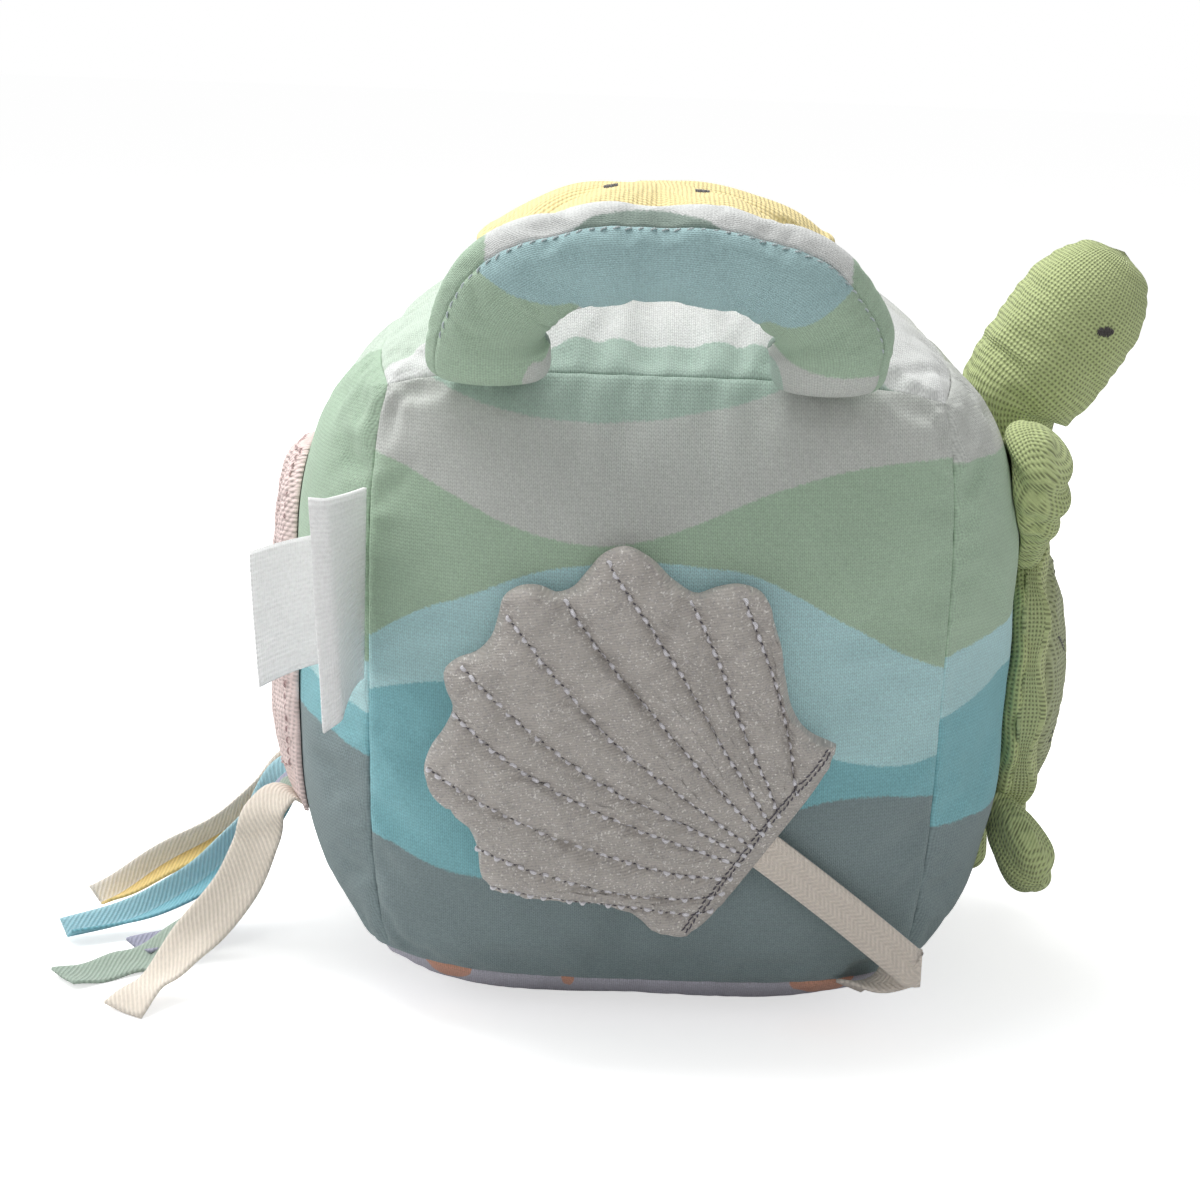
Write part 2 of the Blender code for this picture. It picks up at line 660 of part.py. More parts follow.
def build_turtle_body(tree, materials):
    """Belly on the right panel, wavy rim on the belly and carapace on the rim."""
    belly_top = seat(tree, Vector((0, 0, TURTLE_HEIGHT)), X_AXIS).x + SEAT_GAP + BELLY_SWELL

    def oval(half_width, half_length):
        def outline(angle):
            return Vector((half_width * math.sin(angle), half_length * math.cos(angle)))
        return outline

    def on_panel(a, b, share, angle):
        return seat(tree, Vector((0, a, TURTLE_HEIGHT + b)), X_AXIS) + X_AXIS * SEAT_GAP

    def at_level(level, a, b):
        return Vector((level, a, TURTLE_HEIGHT + b))

    def belly_skin(a, b, share, angle):
        rounding = (BELLY_SWELL - BELLY_EDGE) * (1 - (1 - share ** BELLY_EDGE_POWER) ** SWELL_POWER) / 2
        return at_level(belly_top - rounding, a, b)

    disc_pad(
        "turtle_belly", oval(BELLY_HALF_WIDTH, BELLY_HALF_LENGTH), TURTLE_RINGS, TURTLE_SECTORS,
        on_panel, belly_skin, materials["turtle_belly"],
    )
    rim_base = belly_top + PIECE_GAP
    belly_share = BELLY_HALF_WIDTH / RIM_HALF_WIDTH

    def wave(share, angle):
        edge = max(0.0, (share - belly_share) / (1 - belly_share))
        return RIM_WAVE * edge * (1 + math.cos(RIM_WAVES * angle))

    def rim_skin(thickness):
        def point(a, b, share, angle):
            return at_level(rim_base + thickness + wave(share, angle), a, b)
        return point

    disc_pad(
        "turtle_rim", oval(RIM_HALF_WIDTH, RIM_HALF_LENGTH), TURTLE_RINGS, 2 * TURTLE_SECTORS,
        rim_skin(0.0), rim_skin(RIM_THICKNESS), materials["turtle_rim"],
    )
    carapace_base = rim_base + RIM_THICKNESS + PIECE_GAP

    def carapace_foot(a, b, share, angle):
        return at_level(carapace_base, a, b)

    def carapace_skin(a, b, share, angle):
        swell = CARAPACE_EDGE + (CARAPACE_SWELL - CARAPACE_EDGE) * (1 - share ** 2) ** SWELL_POWER
        return at_level(carapace_base + swell, a, b)

    disc_pad(
        "turtle_carapace", oval(CARAPACE_HALF_WIDTH, CARAPACE_HALF_LENGTH), TURTLE_RINGS,
        TURTLE_SECTORS, carapace_foot, carapace_skin, materials["turtle_carapace"],
    )


def limb(name, root, along, flat, length, half_width, half_thickness, material):
    """Stuffed limb that swells from a round root and closes round at its tip.

    along is its direction and flat the direction of its thin side.
    """
    root_radius = FLIPPER_ROOT_RADIUS
    along = along.normalized()
    side = along.cross(flat).normalized()
    thin = side.cross(along).normalized()
    rings = []
    for angle in (math.pi / 6, math.pi / 3):
        around = root_radius * math.sin(angle)
        rings.append((root - along * (root_radius * math.cos(angle)), around, around))
    for place, share in FLIPPER_SHARES:
        width = root_radius + (half_width - root_radius) * share
        thick = root_radius + (half_thickness - root_radius) * share
        if place >= LIMB_TIP_SHARE:
            run = (place - LIMB_TIP_START_SHARE) / (1 - LIMB_TIP_START_SHARE)
            shrink = math.sqrt(1 - run ** 2)
            width, thick = half_width * shrink, half_thickness * shrink
        centre = root + along * (length * place)
        rings.append((centre, width, thick))
    loops = []
    for centre, width, thick in rings:
        loop = []
        for j in range(FLIPPER_SECTION_STEPS):
            angle = 2 * math.pi * j / FLIPPER_SECTION_STEPS
            loop.append(centre + side * (width * math.cos(angle)) + thin * (thick * math.sin(angle)))
        loops.append(loop)
    start = root - along * root_radius
    end = root + along * length
    return ring_solid(name, loops, start, end, material, root)


def build_turtle_limbs(tree, materials):
    """Head, four flippers and tail, each rooted just outside the belly's edge."""
    neck, _ = ellipse_place(BELLY_HALF_WIDTH, BELLY_HALF_LENGTH, 0.0, NECK_RADIUS + SEAT_GAP)
    neck_seat = seat(tree, Vector((0, neck.x, TURTLE_HEIGHT + neck.y)), X_AXIS)
    root = neck_seat + X_AXIS * (NECK_RADIUS + SEAT_GAP)
    lean = math.radians(HEAD_LEAN_DEG)
    along = Vector((math.sin(lean), 0, math.cos(lean)))
    rings = []
    for angle in (math.pi / 6, math.pi / 3):
        rings.append((root - along * (NECK_RADIUS * math.cos(angle)), NECK_RADIUS * math.sin(angle)))
    for place, share in HEAD_RADIUS_SHARES:
        centre = root + along * (HEAD_LENGTH * place) + X_AXIS * (HEAD_BEND * place ** 2)
        rings.append((centre, HEAD_RADIUS * share))
    loops = []
    for centre, radius in rings:
        loop = []
        for j in range(FLIPPER_SECTION_STEPS):
            angle = 2 * math.pi * j / FLIPPER_SECTION_STEPS
            across = along.cross(Y_AXIS) * math.cos(angle) + Y_AXIS * math.sin(angle)
            loop.append(centre + across * radius)
        loops.append(loop)
    tip = root + along * HEAD_LENGTH + X_AXIS * HEAD_BEND
    start = root - along * NECK_RADIUS
    ring_solid("turtle_head", loops, start, tip, materials["turtle_head"], root)

    for front in (True, False):
        place_deg = FRONT_FLIPPER_PLACE_DEG if front else REAR_FLIPPER_PLACE_DEG
        turn_deg = FRONT_FLIPPER_TURN_DEG if front else REAR_FLIPPER_TURN_DEG
        lift = math.radians(FRONT_FLIPPER_LIFT_DEG if front else REAR_FLIPPER_LIFT_DEG)
        length = FRONT_FLIPPER_LENGTH if front else REAR_FLIPPER_LENGTH
        half_width = FRONT_FLIPPER_HALF_WIDTH if front else REAR_FLIPPER_HALF_WIDTH
        half_thick = FRONT_FLIPPER_HALF_THICKNESS if front else REAR_FLIPPER_HALF_THICKNESS
        for name_end, sign in (("near", -1), ("far", 1)):
            distance = FLIPPER_ROOT_RADIUS + SEAT_GAP
            spot, out = ellipse_place(BELLY_HALF_WIDTH, BELLY_HALF_LENGTH, place_deg, distance)
            root_seat = seat(tree, Vector((0, sign * spot.x, TURTLE_HEIGHT + spot.y)), X_AXIS)
            root = root_seat + X_AXIS * (FLIPPER_ROOT_RADIUS + SEAT_GAP)
            heading = math.atan2(out.y, out.x) - math.radians(turn_deg)
            along = Vector((math.sin(lift), sign * math.cos(heading), math.sin(heading)))
            name = f"turtle_{'front' if front else 'rear'}_flipper_{name_end}"
            limb(name, root, along, X_AXIS, length, half_width, half_thick, materials[name])
    spot, _ = ellipse_place(BELLY_HALF_WIDTH, BELLY_HALF_LENGTH, 180.0, FLIPPER_ROOT_RADIUS + SEAT_GAP)
    root_seat = seat(tree, Vector((0, 0, TURTLE_HEIGHT + spot.y)), X_AXIS)
    root = root_seat + X_AXIS * (FLIPPER_ROOT_RADIUS + SEAT_GAP)
    limb("turtle_tail", root, -Z_AXIS, X_AXIS, TAIL_LENGTH, TAIL_RADIUS, TAIL_RADIUS,
         materials["turtle_tail"])


def shell_frame():
    """Place of the shell toy: base middle, direction along the base, way up the fan, way out."""
    turn = math.radians(SHELL_TURN_DEG)
    along = Vector((math.cos(turn), 0, math.sin(turn)))
    up = Vector((-math.sin(turn), 0, math.cos(turn)))
    depth = HALF_DEPTH + FRONT_CROWN + SEAT_GAP + SHELL_BACK_SWELL
    return Vector((SHELL_PLACE_X, -depth, SHELL_PLACE_HEIGHT)), along, up, -Y_AXIS


def shell_edge(angle):
    """Distance of the fan's scalloped edge from the base middle, by angle off its axis.

    Inside the outermost lobes the edge is an arch with notches, and beyond them it runs straight
    to the end of the base.
    """
    def arch(turn):
        return SHELL_HALF_BASE + (SHELL_LENGTH - SHELL_HALF_BASE) * math.cos(turn) ** SHELL_ARCH_POWER

    lobe = math.radians(SHELL_LOBE_DEG)
    last = SHELL_LOBES / 2 * lobe
    if abs(angle) < last:
        notch = 1 - abs(math.sin(math.pi * angle / lobe)) ** SHELL_LOBE_POWER
        return arch(angle) * (1 - SHELL_LOBE_SHARE * notch)
    start = Vector((math.sin(last), math.cos(last))) * arch(last) * (1 - SHELL_LOBE_SHARE)
    end = Vector((SHELL_HALF_BASE, -SHELL_HEM))
    way = Vector((math.sin(abs(angle)), math.cos(angle)))
    run = end - start
    return (start.x * run.y - start.y * run.x) / (way.x * run.y - way.y * run.x)


def shell_grid(swell, valleys, sign):
    """Skin of the fan, row by row from the hem to the edge, swollen between its stitched rows."""
    base, along, up, out = shell_frame()
    channel = math.radians(SHELL_CHANNEL_DEG)
    last = SHELL_CHANNELS / 2 * channel
    spread = math.radians(SHELL_SPREAD_DEG)
    angles = [-spread + (spread - last) * i / SHELL_SIDE_STEPS for i in range(SHELL_SIDE_STEPS)]
    count = SHELL_CHANNELS * SHELL_CHANNEL_STEPS
    angles += [-last + 2 * last * i / count for i in range(count)]
    angles += [last + (spread - last) * i / SHELL_SIDE_STEPS for i in range(SHELL_SIDE_STEPS + 1)]
    grid = []
    for i in range(SHELL_RINGS + 1):
        place = i / SHELL_RINGS
        row = []
        for angle in angles:
            foot = along * (-SHELL_HALF_BASE * angle / math.radians(90.0)) - up * SHELL_HEM
            radius = shell_edge(angle)
            edge = (along * -math.sin(angle) + up * math.cos(angle)) * radius
            point = base + foot.lerp(edge, place)
            ends = 1 - (1 - min(1.0, place / SHELL_HEM_SHARE)) ** 2
            ends *= (1 - place ** SHELL_RIM_POWER) ** SWELL_POWER
            sides = (1 - (abs(angle) / spread) ** SHELL_SIDE_POWER) ** SWELL_POWER
            height = SHELL_EDGE + swell * ends * sides
            if valleys and abs(angle) < last + channel:
                puff = abs(math.sin(math.pi * (angle + last) / channel)) ** SWELL_POWER
                height *= 1 - SHELL_VALLEY_SHARE * (1 - puff)
            row.append(point + out * (sign * (PIECE_GAP / 2 + height)))
        grid.append(row)
    return grid


def shell_hinge():
    """Middle of the line on which the shell toy flops, at the tape's end."""
    base, along, up, _ = shell_frame()
    reach = SHELL_HEM + SEAT_GAP + TAPE_THICKNESS / 2
    return base - along * TAPE_OFFSET - up * reach


def build_shell(front_material, back_material):
    """Two halves of the fan, each flat where they meet, swollen outside and channelled in front."""
    base, _, _, out = shell_frame()
    for name, swell, valleys, sign, material in (
        ("shell_front", SHELL_SWELL, True, 1, front_material),
        ("shell_back", SHELL_BACK_SWELL - SHELL_EDGE, False, -1, back_material),
    ):
        level = (base + out * (sign * PIECE_GAP / 2)).y
        flat_backed_solid(name, shell_grid(swell, valleys, sign), level, material, shell_hinge())


def tape_fold():
    """Where the tape folds back, in front of the lower right corner."""
    return Vector((TAPE_FOLD_X, -HALF_DEPTH - TAPE_FOLD_OUT, TAPE_FOLD_HEIGHT))


def strip(name, line, sides, width, thickness, material, origin):
    """Flat tape along a line, with its side direction given at each point.

    Between its ends the tape is cut square to the line; its two ends lie along their seams.
    """
    outer, inner = [], []
    last = len(line) - 1
    for i, (point, side) in enumerate(zip(line, sides)):
        ahead = (line[min(i + 1, last)] - line[max(i - 1, 0)]).normalized()
        if 0 < i < last:
            side = side - ahead * side.dot(ahead)
        side = side.normalized()
        normal = side.cross(ahead).normalized()
        half, lift = side * (width / 2), normal * (thickness / 2)
        outer.append([point - half + lift, point + half + lift])
        inner.append([point - half - lift, point + half - lift])
    sheet_solid(name, outer, inner, material, origin)


def build_tape(material):
    """Tape in two pieces that meet at its fold: the root in the seam and the run to the toy."""
    fold = tape_fold()
    _, along, up, _ = shell_frame()
    clear = PIECE_GAP + TAPE_THICKNESS
    end = shell_hinge() + Vector()
    start = fold - Y_AXIS * clear
    line = []
    for i in range(TAPE_STEPS + 1):
        share = i / TAPE_STEPS
        line.append(start.lerp(end, share) + Y_AXIS * (TAPE_SAG * math.sin(math.pi * share)))
    sides = [
        Z_AXIS.lerp(along, min(1.0, i / TAPE_STEPS / TAPE_TURN_SHARE)) for i in range(TAPE_STEPS + 1)
    ]
    strip("tether_tape", line, sides, TAPE_WIDTH, TAPE_THICKNESS, material, start)
    seam = seam_point((TAPE_ROOT_X / HALF_WIDTH, -1, -1))
    out = Vector((0, -1, -1)).normalized()
    root = seam + out * (SEAT_GAP + TAPE_THICKNESS)
    line = [root.lerp(fold, i / 2) for i in range(3)]
    sides = [Vector((1, 0, 0)), Vector((1, 0, 1)), Z_AXIS]
    strip("tether_root", line, sides, TAPE_WIDTH, TAPE_THICKNESS, material, root)


def build_labels(material):
    """Two bare labels that stand out of the left front seam."""
    for name, length, height, top, droop, way_deg, thickness, out_deg in (
        ("satin_label", SATIN_LENGTH, SATIN_HEIGHT, SATIN_TOP, SATIN_DROOP, SATIN_DIRECTION_DEG,
         LABEL_THICKNESS, SATIN_SEAM_DEG),
        ("care_label", CARE_LENGTH, CARE_HEIGHT, CARE_TOP, CARE_DROOP, CARE_DIRECTION_DEG,
         CARE_THICKNESS, CARE_SEAM_DEG),
    ):
        cube_z = (top - height / 2 - CENTRE_HEIGHT) / HALF_HEIGHT
        seam = seam_point((-1, -1, cube_z))
        away = math.radians(out_deg)
        root = seam + Vector((math.cos(away), math.sin(away), 0)) * LABEL_SEAM_STEP
        way = math.radians(way_deg)
        along = Vector((math.cos(way), math.sin(way), 0))
        thick = Vector((-along.y, along.x, 0)) * (thickness / 2)
        outer, inner = [], []
        for i in range(LABEL_STEPS + 1):
            share = i / LABEL_STEPS
            point = root + along * (length * share)
            high, low = point.copy(), point.copy()
            high.z = top - droop * share ** 2
            low.z = high.z - height
            outer.append([low + thick, high + thick])
            inner.append([low - thick, high - thick])
        sheet_solid(name, outer, inner, material, root)


def main():
    clear_scene()
    panel_colours = {
        "panel_front": "#A3C3B8", "panel_back": "#A3C3B8", "panel_left": "#A9D0D2",
        "panel_right": "#9FC9C6", "panel_top": "#D3DCD8", "panel_bottom": "#DADDE8",
    }
    materials = {name: cloth(name, colour) for name, colour in panel_colours.items()}
    panels = build_panels(materials)
    build_filling(cloth("wadding", "#F1EFEA", 1.0))
    build_rattle(cloth("rattle_plastic", "#E9E6DF", 0.45), cloth("rattle_bead", "#C9C4B8", 0.4))
    build_handle(cloth("handle_front", "#9CCED3"), cloth("handle_back", "#CFDAD7"),
                 cloth("handle_wadding", "#F1EFEA", 1.0))
    bpy.context.view_layer.update()
    build_starfish(skin_tree(panels["panel_top"]), cloth("starfish_gauze", "#F0D98F"),
                   cloth("starfish_base", "#E9CF84"))
    left, right = skin_tree(panels["panel_left"]), skin_tree(panels["panel_right"])
    build_jellyfish(left, cloth("jellyfish", "#E2C2BE"))
    ribbon_colours = {
        "ribbon_cream": "#DED2BC", "ribbon_green": "#8AA596", "ribbon_lilac": "#9A9CB4",
        "ribbon_blue": "#86C4D2", "ribbon_yellow": "#E5D08C",
    }
    build_ribbons(left, {name: cloth(name, colour) for name, colour in ribbon_colours.items()})
    turtle = {name: cloth(name, "#7FA35F") for name in (
        "turtle_belly", "turtle_head", "turtle_tail", "turtle_front_flipper_near",
        "turtle_front_flipper_far", "turtle_rear_flipper_near", "turtle_rear_flipper_far")}
    turtle["turtle_rim"] = cloth("turtle_rim", "#87AA69")
    turtle["turtle_carapace"] = cloth("turtle_carapace", "#A8BF90")
    build_turtle_body(right, turtle)
    build_turtle_limbs(right, turtle)
    build_shell(cloth("shell_satin", "#A9A6A3", 0.45, 0.2), cloth("shell_back", "#A9A6A3", 0.45, 0.2))
    build_tape(cloth("tether_twill", "#DDD3C0"))
    build_labels(cloth("label_satin", "#F3F2EF", 0.6))


main()
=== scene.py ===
"""Dressed scene of a soft sea activity block: a stuffed cube of printed knit with a loop handle,
gauze animals, twill ribbons, a glitter satin shell on a tape and two bare labels.

Metres, +Z up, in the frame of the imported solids: +X is the turtle's side, -Y the front.
"""
import logging
import math
from dataclasses import dataclass, field
from enum import Enum

import bmesh
import bpy
import numpy as np
from mathutils import Matrix, Vector
from mathutils.bvhtree import BVHTree


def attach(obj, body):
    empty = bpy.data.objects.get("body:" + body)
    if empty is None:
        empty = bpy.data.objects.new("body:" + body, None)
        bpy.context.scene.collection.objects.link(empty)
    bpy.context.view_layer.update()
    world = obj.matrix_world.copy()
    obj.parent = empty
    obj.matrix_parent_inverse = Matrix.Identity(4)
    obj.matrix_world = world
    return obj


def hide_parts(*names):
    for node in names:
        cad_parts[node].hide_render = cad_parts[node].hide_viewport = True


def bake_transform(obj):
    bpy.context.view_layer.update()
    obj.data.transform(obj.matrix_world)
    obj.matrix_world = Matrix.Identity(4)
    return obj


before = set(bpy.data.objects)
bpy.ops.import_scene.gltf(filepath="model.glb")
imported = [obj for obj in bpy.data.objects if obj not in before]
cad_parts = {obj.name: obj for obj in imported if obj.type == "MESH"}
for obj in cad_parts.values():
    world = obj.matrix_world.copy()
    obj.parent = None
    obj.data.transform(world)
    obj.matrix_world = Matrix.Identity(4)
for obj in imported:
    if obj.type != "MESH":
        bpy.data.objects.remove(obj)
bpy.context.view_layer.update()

MM = 0.001
LOG = logging.getLogger("sea_block")
WELD = 1e-6
UP, OUT_FRONT, OUT_LEFT, OUT_RIGHT = (
    np.array(v, float) for v in ((0, 0, 1), (0, -1, 0), (-1, 0, 0), (1, 0, 0))
)


# Numbers and curves

def linear(hex_colour: str) -> tuple[float, float, float, float]:
    """Linear RGBA of an sRGB colour written as '#RRGGBB'."""
    channels = [int(hex_colour[i:i + 2], 16) / 255 for i in (1, 3, 5)]
    values = [c / 12.92 if c <= 0.04045 else ((c + 0.055) / 1.055) ** 2.4 for c in channels]
    return (*values, 1.0)


def flow(knots: tuple, place: np.ndarray) -> np.ndarray:
    """Smooth curve through knots in millimetres, in metres.

    Cubic pieces; the slope at a knot is the weighted mean of its two neighbours' slopes.

    Args:
        knots: (place, value) pairs in millimetres, by rising place.
        place: where the curve is read, in metres; past its ends the curve is level.

    Returns:
        The curve's values in metres.
    """
    x, y = np.array(knots, float).T * MM
    slope = np.gradient(y, x)
    p = np.clip(place, x[0], x[-1])
    i = np.clip(np.searchsorted(x, p) - 1, 0, len(x) - 2)
    h = x[i + 1] - x[i]
    t = (p - x[i]) / h
    rise = t * (1 - t) ** 2 * h * slope[i] + t * t * (t - 1) * h * slope[i + 1]
    return (1 + 2 * t) * (1 - t) ** 2 * y[i] + t * t * (3 - 2 * t) * y[i + 1] + rise


def unit(vectors: np.ndarray) -> np.ndarray:
    """The vectors at length one."""
    return vectors / np.maximum(np.linalg.norm(vectors, axis=-1, keepdims=True), 1e-12)


def wander(place: np.ndarray, wave: float, seed: float) -> np.ndarray:
    """Uneven wave from -1 to 1: a sine whose phase is itself pulled by two slower sines."""
    turn = 2 * math.pi * place / wave
    return np.sin(turn + 1.7 * np.sin(turn / 3.7 + seed) + 1.1 * np.sin(turn / 8.3 + 2 * seed) + seed)


def lumps(points: np.ndarray, size: float, seed: float) -> np.ndarray:
    """Soft unevenness of wadding from -1 to 1: the product of slow waves along three skew lines."""
    turn = 2 * math.pi * points / size
    one = np.sin(turn[..., 0] + 0.7 * turn[..., 2] + seed)
    two = np.sin(0.8 * turn[..., 1] - turn[..., 2] + 1.9 * seed)
    three = np.sin(1.7 * turn[..., 2] + 0.9 * turn[..., 0] - turn[..., 1] + 3.1 * seed)
    return (one * two + three) / 2


# Surfaces

@dataclass
class Surface:
    """Faces before they become a mesh: points, four-sided faces, UV in metres and marks."""

    points: np.ndarray
    quads: np.ndarray
    uv: np.ndarray
    marks: dict[str, np.ndarray] = field(default_factory=dict)

    @staticmethod
    def grid(points: np.ndarray, uv: np.ndarray, marks: dict[str, np.ndarray] | None = None
             ) -> "Surface":
        """Surface of a grid of points.

        Args:
            points: (rows, columns, 3) places.
            uv: (rows, columns, 2) places on the flat cloth, in metres.
            marks: (rows, columns) numbers that a finish reads by name.

        Returns:
            The surface, with faces that face rows x columns.
        """
        rows, columns = points.shape[:2]
        index = np.arange(rows * columns).reshape(rows, columns)
        quads = np.stack(
            [index[:-1, :-1], index[:-1, 1:], index[1:, 1:], index[1:, :-1]], axis=-1
        ).reshape(-1, 4)
        flat = {name: value.reshape(-1) for name, value in (marks or {}).items()}
        return Surface(points.reshape(-1, 3), quads, uv.reshape(-1, 2), flat)

    @staticmethod
    def joined(parts: list["Surface"]) -> "Surface":
        """Several surfaces as one; a mark that a part lacks is zero there."""
        names = {name for part in parts for name in part.marks}
        starts = np.cumsum([0] + [len(part.points) for part in parts[:-1]])
        return Surface(
            np.concatenate([part.points for part in parts]),
            np.concatenate([part.quads + start for part, start in zip(parts, starts)]),
            np.concatenate([part.uv for part in parts]),
            {name: np.concatenate([
                part.marks.get(name, np.zeros(len(part.points))) for part in parts
            ]) for name in names},
        )

    def tree(self) -> BVHTree:
        """Search tree over the faces."""
        return BVHTree.FromPolygons(self.points.tolist(), self.quads.tolist())


class Rest(Enum):
    """How stiffly a cloth is held while it is blown up."""

    KNIT = (12.0, 0.4)
    GAUZE = (18.0, 0.8)


def blown(surface: Surface, pinned: np.ndarray, growth: float, cap: float,
          rest: Rest = Rest.KNIT, pressure: float = 4.0, frames: int = 20) -> np.ndarray:
    """The points of a closed cloth after Blender's Cloth has blown it up, with no gravity.

    Args:
        surface: the cloth, closed once its doubles are merged.
        pinned: mask of the points that stay, such as seams.
        growth: share by which the cloth is cut larger than its place, which makes it wrinkle.
        cap: the furthest that a point may move, in metres.
        rest: the cloth's stiffness.
        pressure: the pressure inside.
        frames: the number of steps.
    """
    keys = np.round(surface.points / WELD / 10).astype(np.int64)
    _, first, index = np.unique(keys, axis=0, return_index=True, return_inverse=True)
    index = index.reshape(-1)
    mesh = bpy.data.meshes.new("blown")
    work = bmesh.new()
    points = [work.verts.new(p) for p in surface.points[first].tolist()]
    for quad in index[surface.quads].tolist():
        corners = [points[i] for i in dict.fromkeys(quad)]
        if len(corners) > 2 and not work.faces.get(corners):
            work.faces.new(corners)
    bmesh.ops.recalc_face_normals(work, faces=work.faces)
    work.to_mesh(mesh)
    work.free()
    cloth = bpy.data.objects.new("blown", mesh)
    bpy.context.scene.collection.objects.link(cloth)
    held = np.zeros(len(first), bool)
    np.logical_or.at(held, index, pinned)
    group = cloth.vertex_groups.new(name="seams")
    group.add(np.flatnonzero(held).tolist(), 1.0, "REPLACE")
    modifier = cloth.modifiers.new("cloth", "CLOTH")
    rules = modifier.settings
    stiffness, bending = rest.value
    rules.quality, rules.mass = 6, 0.2
    rules.tension_stiffness = rules.compression_stiffness = stiffness
    rules.shear_stiffness, rules.bending_stiffness = stiffness / 3, bending
    rules.use_pressure, rules.uniform_pressure_force = True, pressure
    rules.vertex_group_mass = "seams"
    rules.shrink_min = -growth
    rules.effector_weights.gravity = 0.0
    modifier.collision_settings.use_collision = False
    scene = bpy.context.scene
    for step in range(1, frames + 1):
        scene.frame_set(step)
    evaluated = cloth.evaluated_get(bpy.context.evaluated_depsgraph_get())
    moved = np.empty(len(first) * 3, np.float32)
    evaluated.data.vertices.foreach_get("co", moved)
    bpy.data.objects.remove(cloth, do_unlink=True)
    scene.frame_set(1)
    step = moved.reshape(-1, 3)[index].astype(float) - surface.points
    step[~np.isfinite(step).all(axis=1)] = 0.0
    length = np.linalg.norm(step, axis=1, keepdims=True)
    return surface.points + step * cap * np.tanh(length / cap) / np.maximum(length, 1e-9)


def piece(name: str, surface: Surface, material: bpy.types.Material, body: str | None,
          nodes: tuple[str, ...] = (), thickness: float = 0.0, levels: int = 0,
          weld: bool = True, offset: float = -1.0) -> bpy.types.Object:
    """A finished piece that rides on its body, or on none.

    Args:
        name: the piece's name.
        surface: its faces.
        material: its finish.
        body: the body it moves with, or None.
        nodes: the solids that it stands for.
        thickness: the cloth's thickness, where the surface is one layer.
        levels: subdivision levels.
        weld: merges doubled points and turns all faces outwards.
        offset: where the thickness goes, -1 inwards and 0 to both sides.

    Returns:
        The object.
    """
    mesh = bpy.data.meshes.new(name)
    mesh.from_pydata(surface.points.tolist(), [], surface.quads.tolist())
    corners = np.empty(len(mesh.loops), np.int32)
    mesh.loops.foreach_get("vertex_index", corners)
    layer = mesh.uv_layers.new(name="UVMap")
    layer.data.foreach_set("uv", surface.uv[corners].astype(np.float32).ravel())
    for mark, values in surface.marks.items():
        attribute = mesh.attributes.new(mark, "FLOAT", "POINT")
        attribute.data.foreach_set("value", values.astype(np.float32))
    if weld:
        work = bmesh.new()
        work.from_mesh(mesh)
        bmesh.ops.remove_doubles(work, verts=work.verts, dist=WELD * 10)
        bmesh.ops.recalc_face_normals(work, faces=work.faces)
        work.to_mesh(mesh)
        work.free()
    mesh.shade_smooth()
    mesh.materials.append(material)
    obj = bpy.data.objects.new(name, mesh)
    bpy.context.scene.collection.objects.link(obj)
    if thickness:
        wall = obj.modifiers.new("thickness", "SOLIDIFY")
        wall.thickness, wall.offset, wall.use_even_offset = thickness, offset, False
    if levels:
        finer = obj.modifiers.new("finer", "SUBSURF")
        finer.levels = finer.render_levels = levels
    if body:
        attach(obj, body)
    if nodes:
        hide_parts(*nodes)
    LOG.info("%s: %d faces on %s", name, len(mesh.polygons), body)
    return obj


def normals_of(points: np.ndarray, away_from: np.ndarray) -> np.ndarray:
    """Unit normals of a grid of points, turned away from a place."""
    normal = unit(np.cross(np.gradient(points, axis=1), np.gradient(points, axis=0)))
    side = np.sign(((points - away_from) * normal).sum(axis=-1, keepdims=True).mean())
    return normal * side


def wall(upper: np.ndarray, lower: np.ndarray, rows: int = 1, bulge: float = 0.0) -> Surface:
    """A side wall between two closed edge lines, with UV run along and down it in metres.

    Args:
        upper: (steps, 3) places of one edge.
        lower: the same of the other edge.
        rows: rows of faces.
        bulge: how far its middle swells away from the edges' middle, in uneven waves.

    Returns:
        The surface.
    """
    share = np.linspace(0, 1, rows + 1)[:, None]
    points = upper[None] * (1 - share[..., None]) + lower[None] * share[..., None]
    run = np.concatenate([[0.0], np.cumsum(np.linalg.norm(np.diff(upper, axis=0), axis=1))])
    turn = 2 * math.pi * run / run[-1]
    waves = 1 + 0.6 * np.sin(13 * turn) * np.cos(5 * turn)
    away = unit(upper - upper[:-1].mean(axis=0))
    points = points + away * (bulge * np.sin(math.pi * share) * waves)[..., None]
    drop = share * np.linalg.norm(upper - lower, axis=1).mean()
    return Surface.grid(points, np.stack(np.broadcast_arrays(run[None], drop), -1))


def laid(tree: BVHTree, points: np.ndarray, direction: np.ndarray, reach: float = 0.08
         ) -> tuple[np.ndarray, np.ndarray]:
    """Where lines against `direction` through the points first meet a surface, and its normals."""
    way = Vector(direction.tolist())
    hits, normals = [], []
    for p in points:
        start = Vector(p.tolist()) + way * reach
        hit, normal, _, _ = tree.ray_cast(start, -way)
        hits.append(hit if hit is not None else Vector(p.tolist()))
        normal = normal if normal is not None else way
        normals.append(normal if normal.dot(way) > 0 else -normal)
    return np.array(hits), np.array(normals)


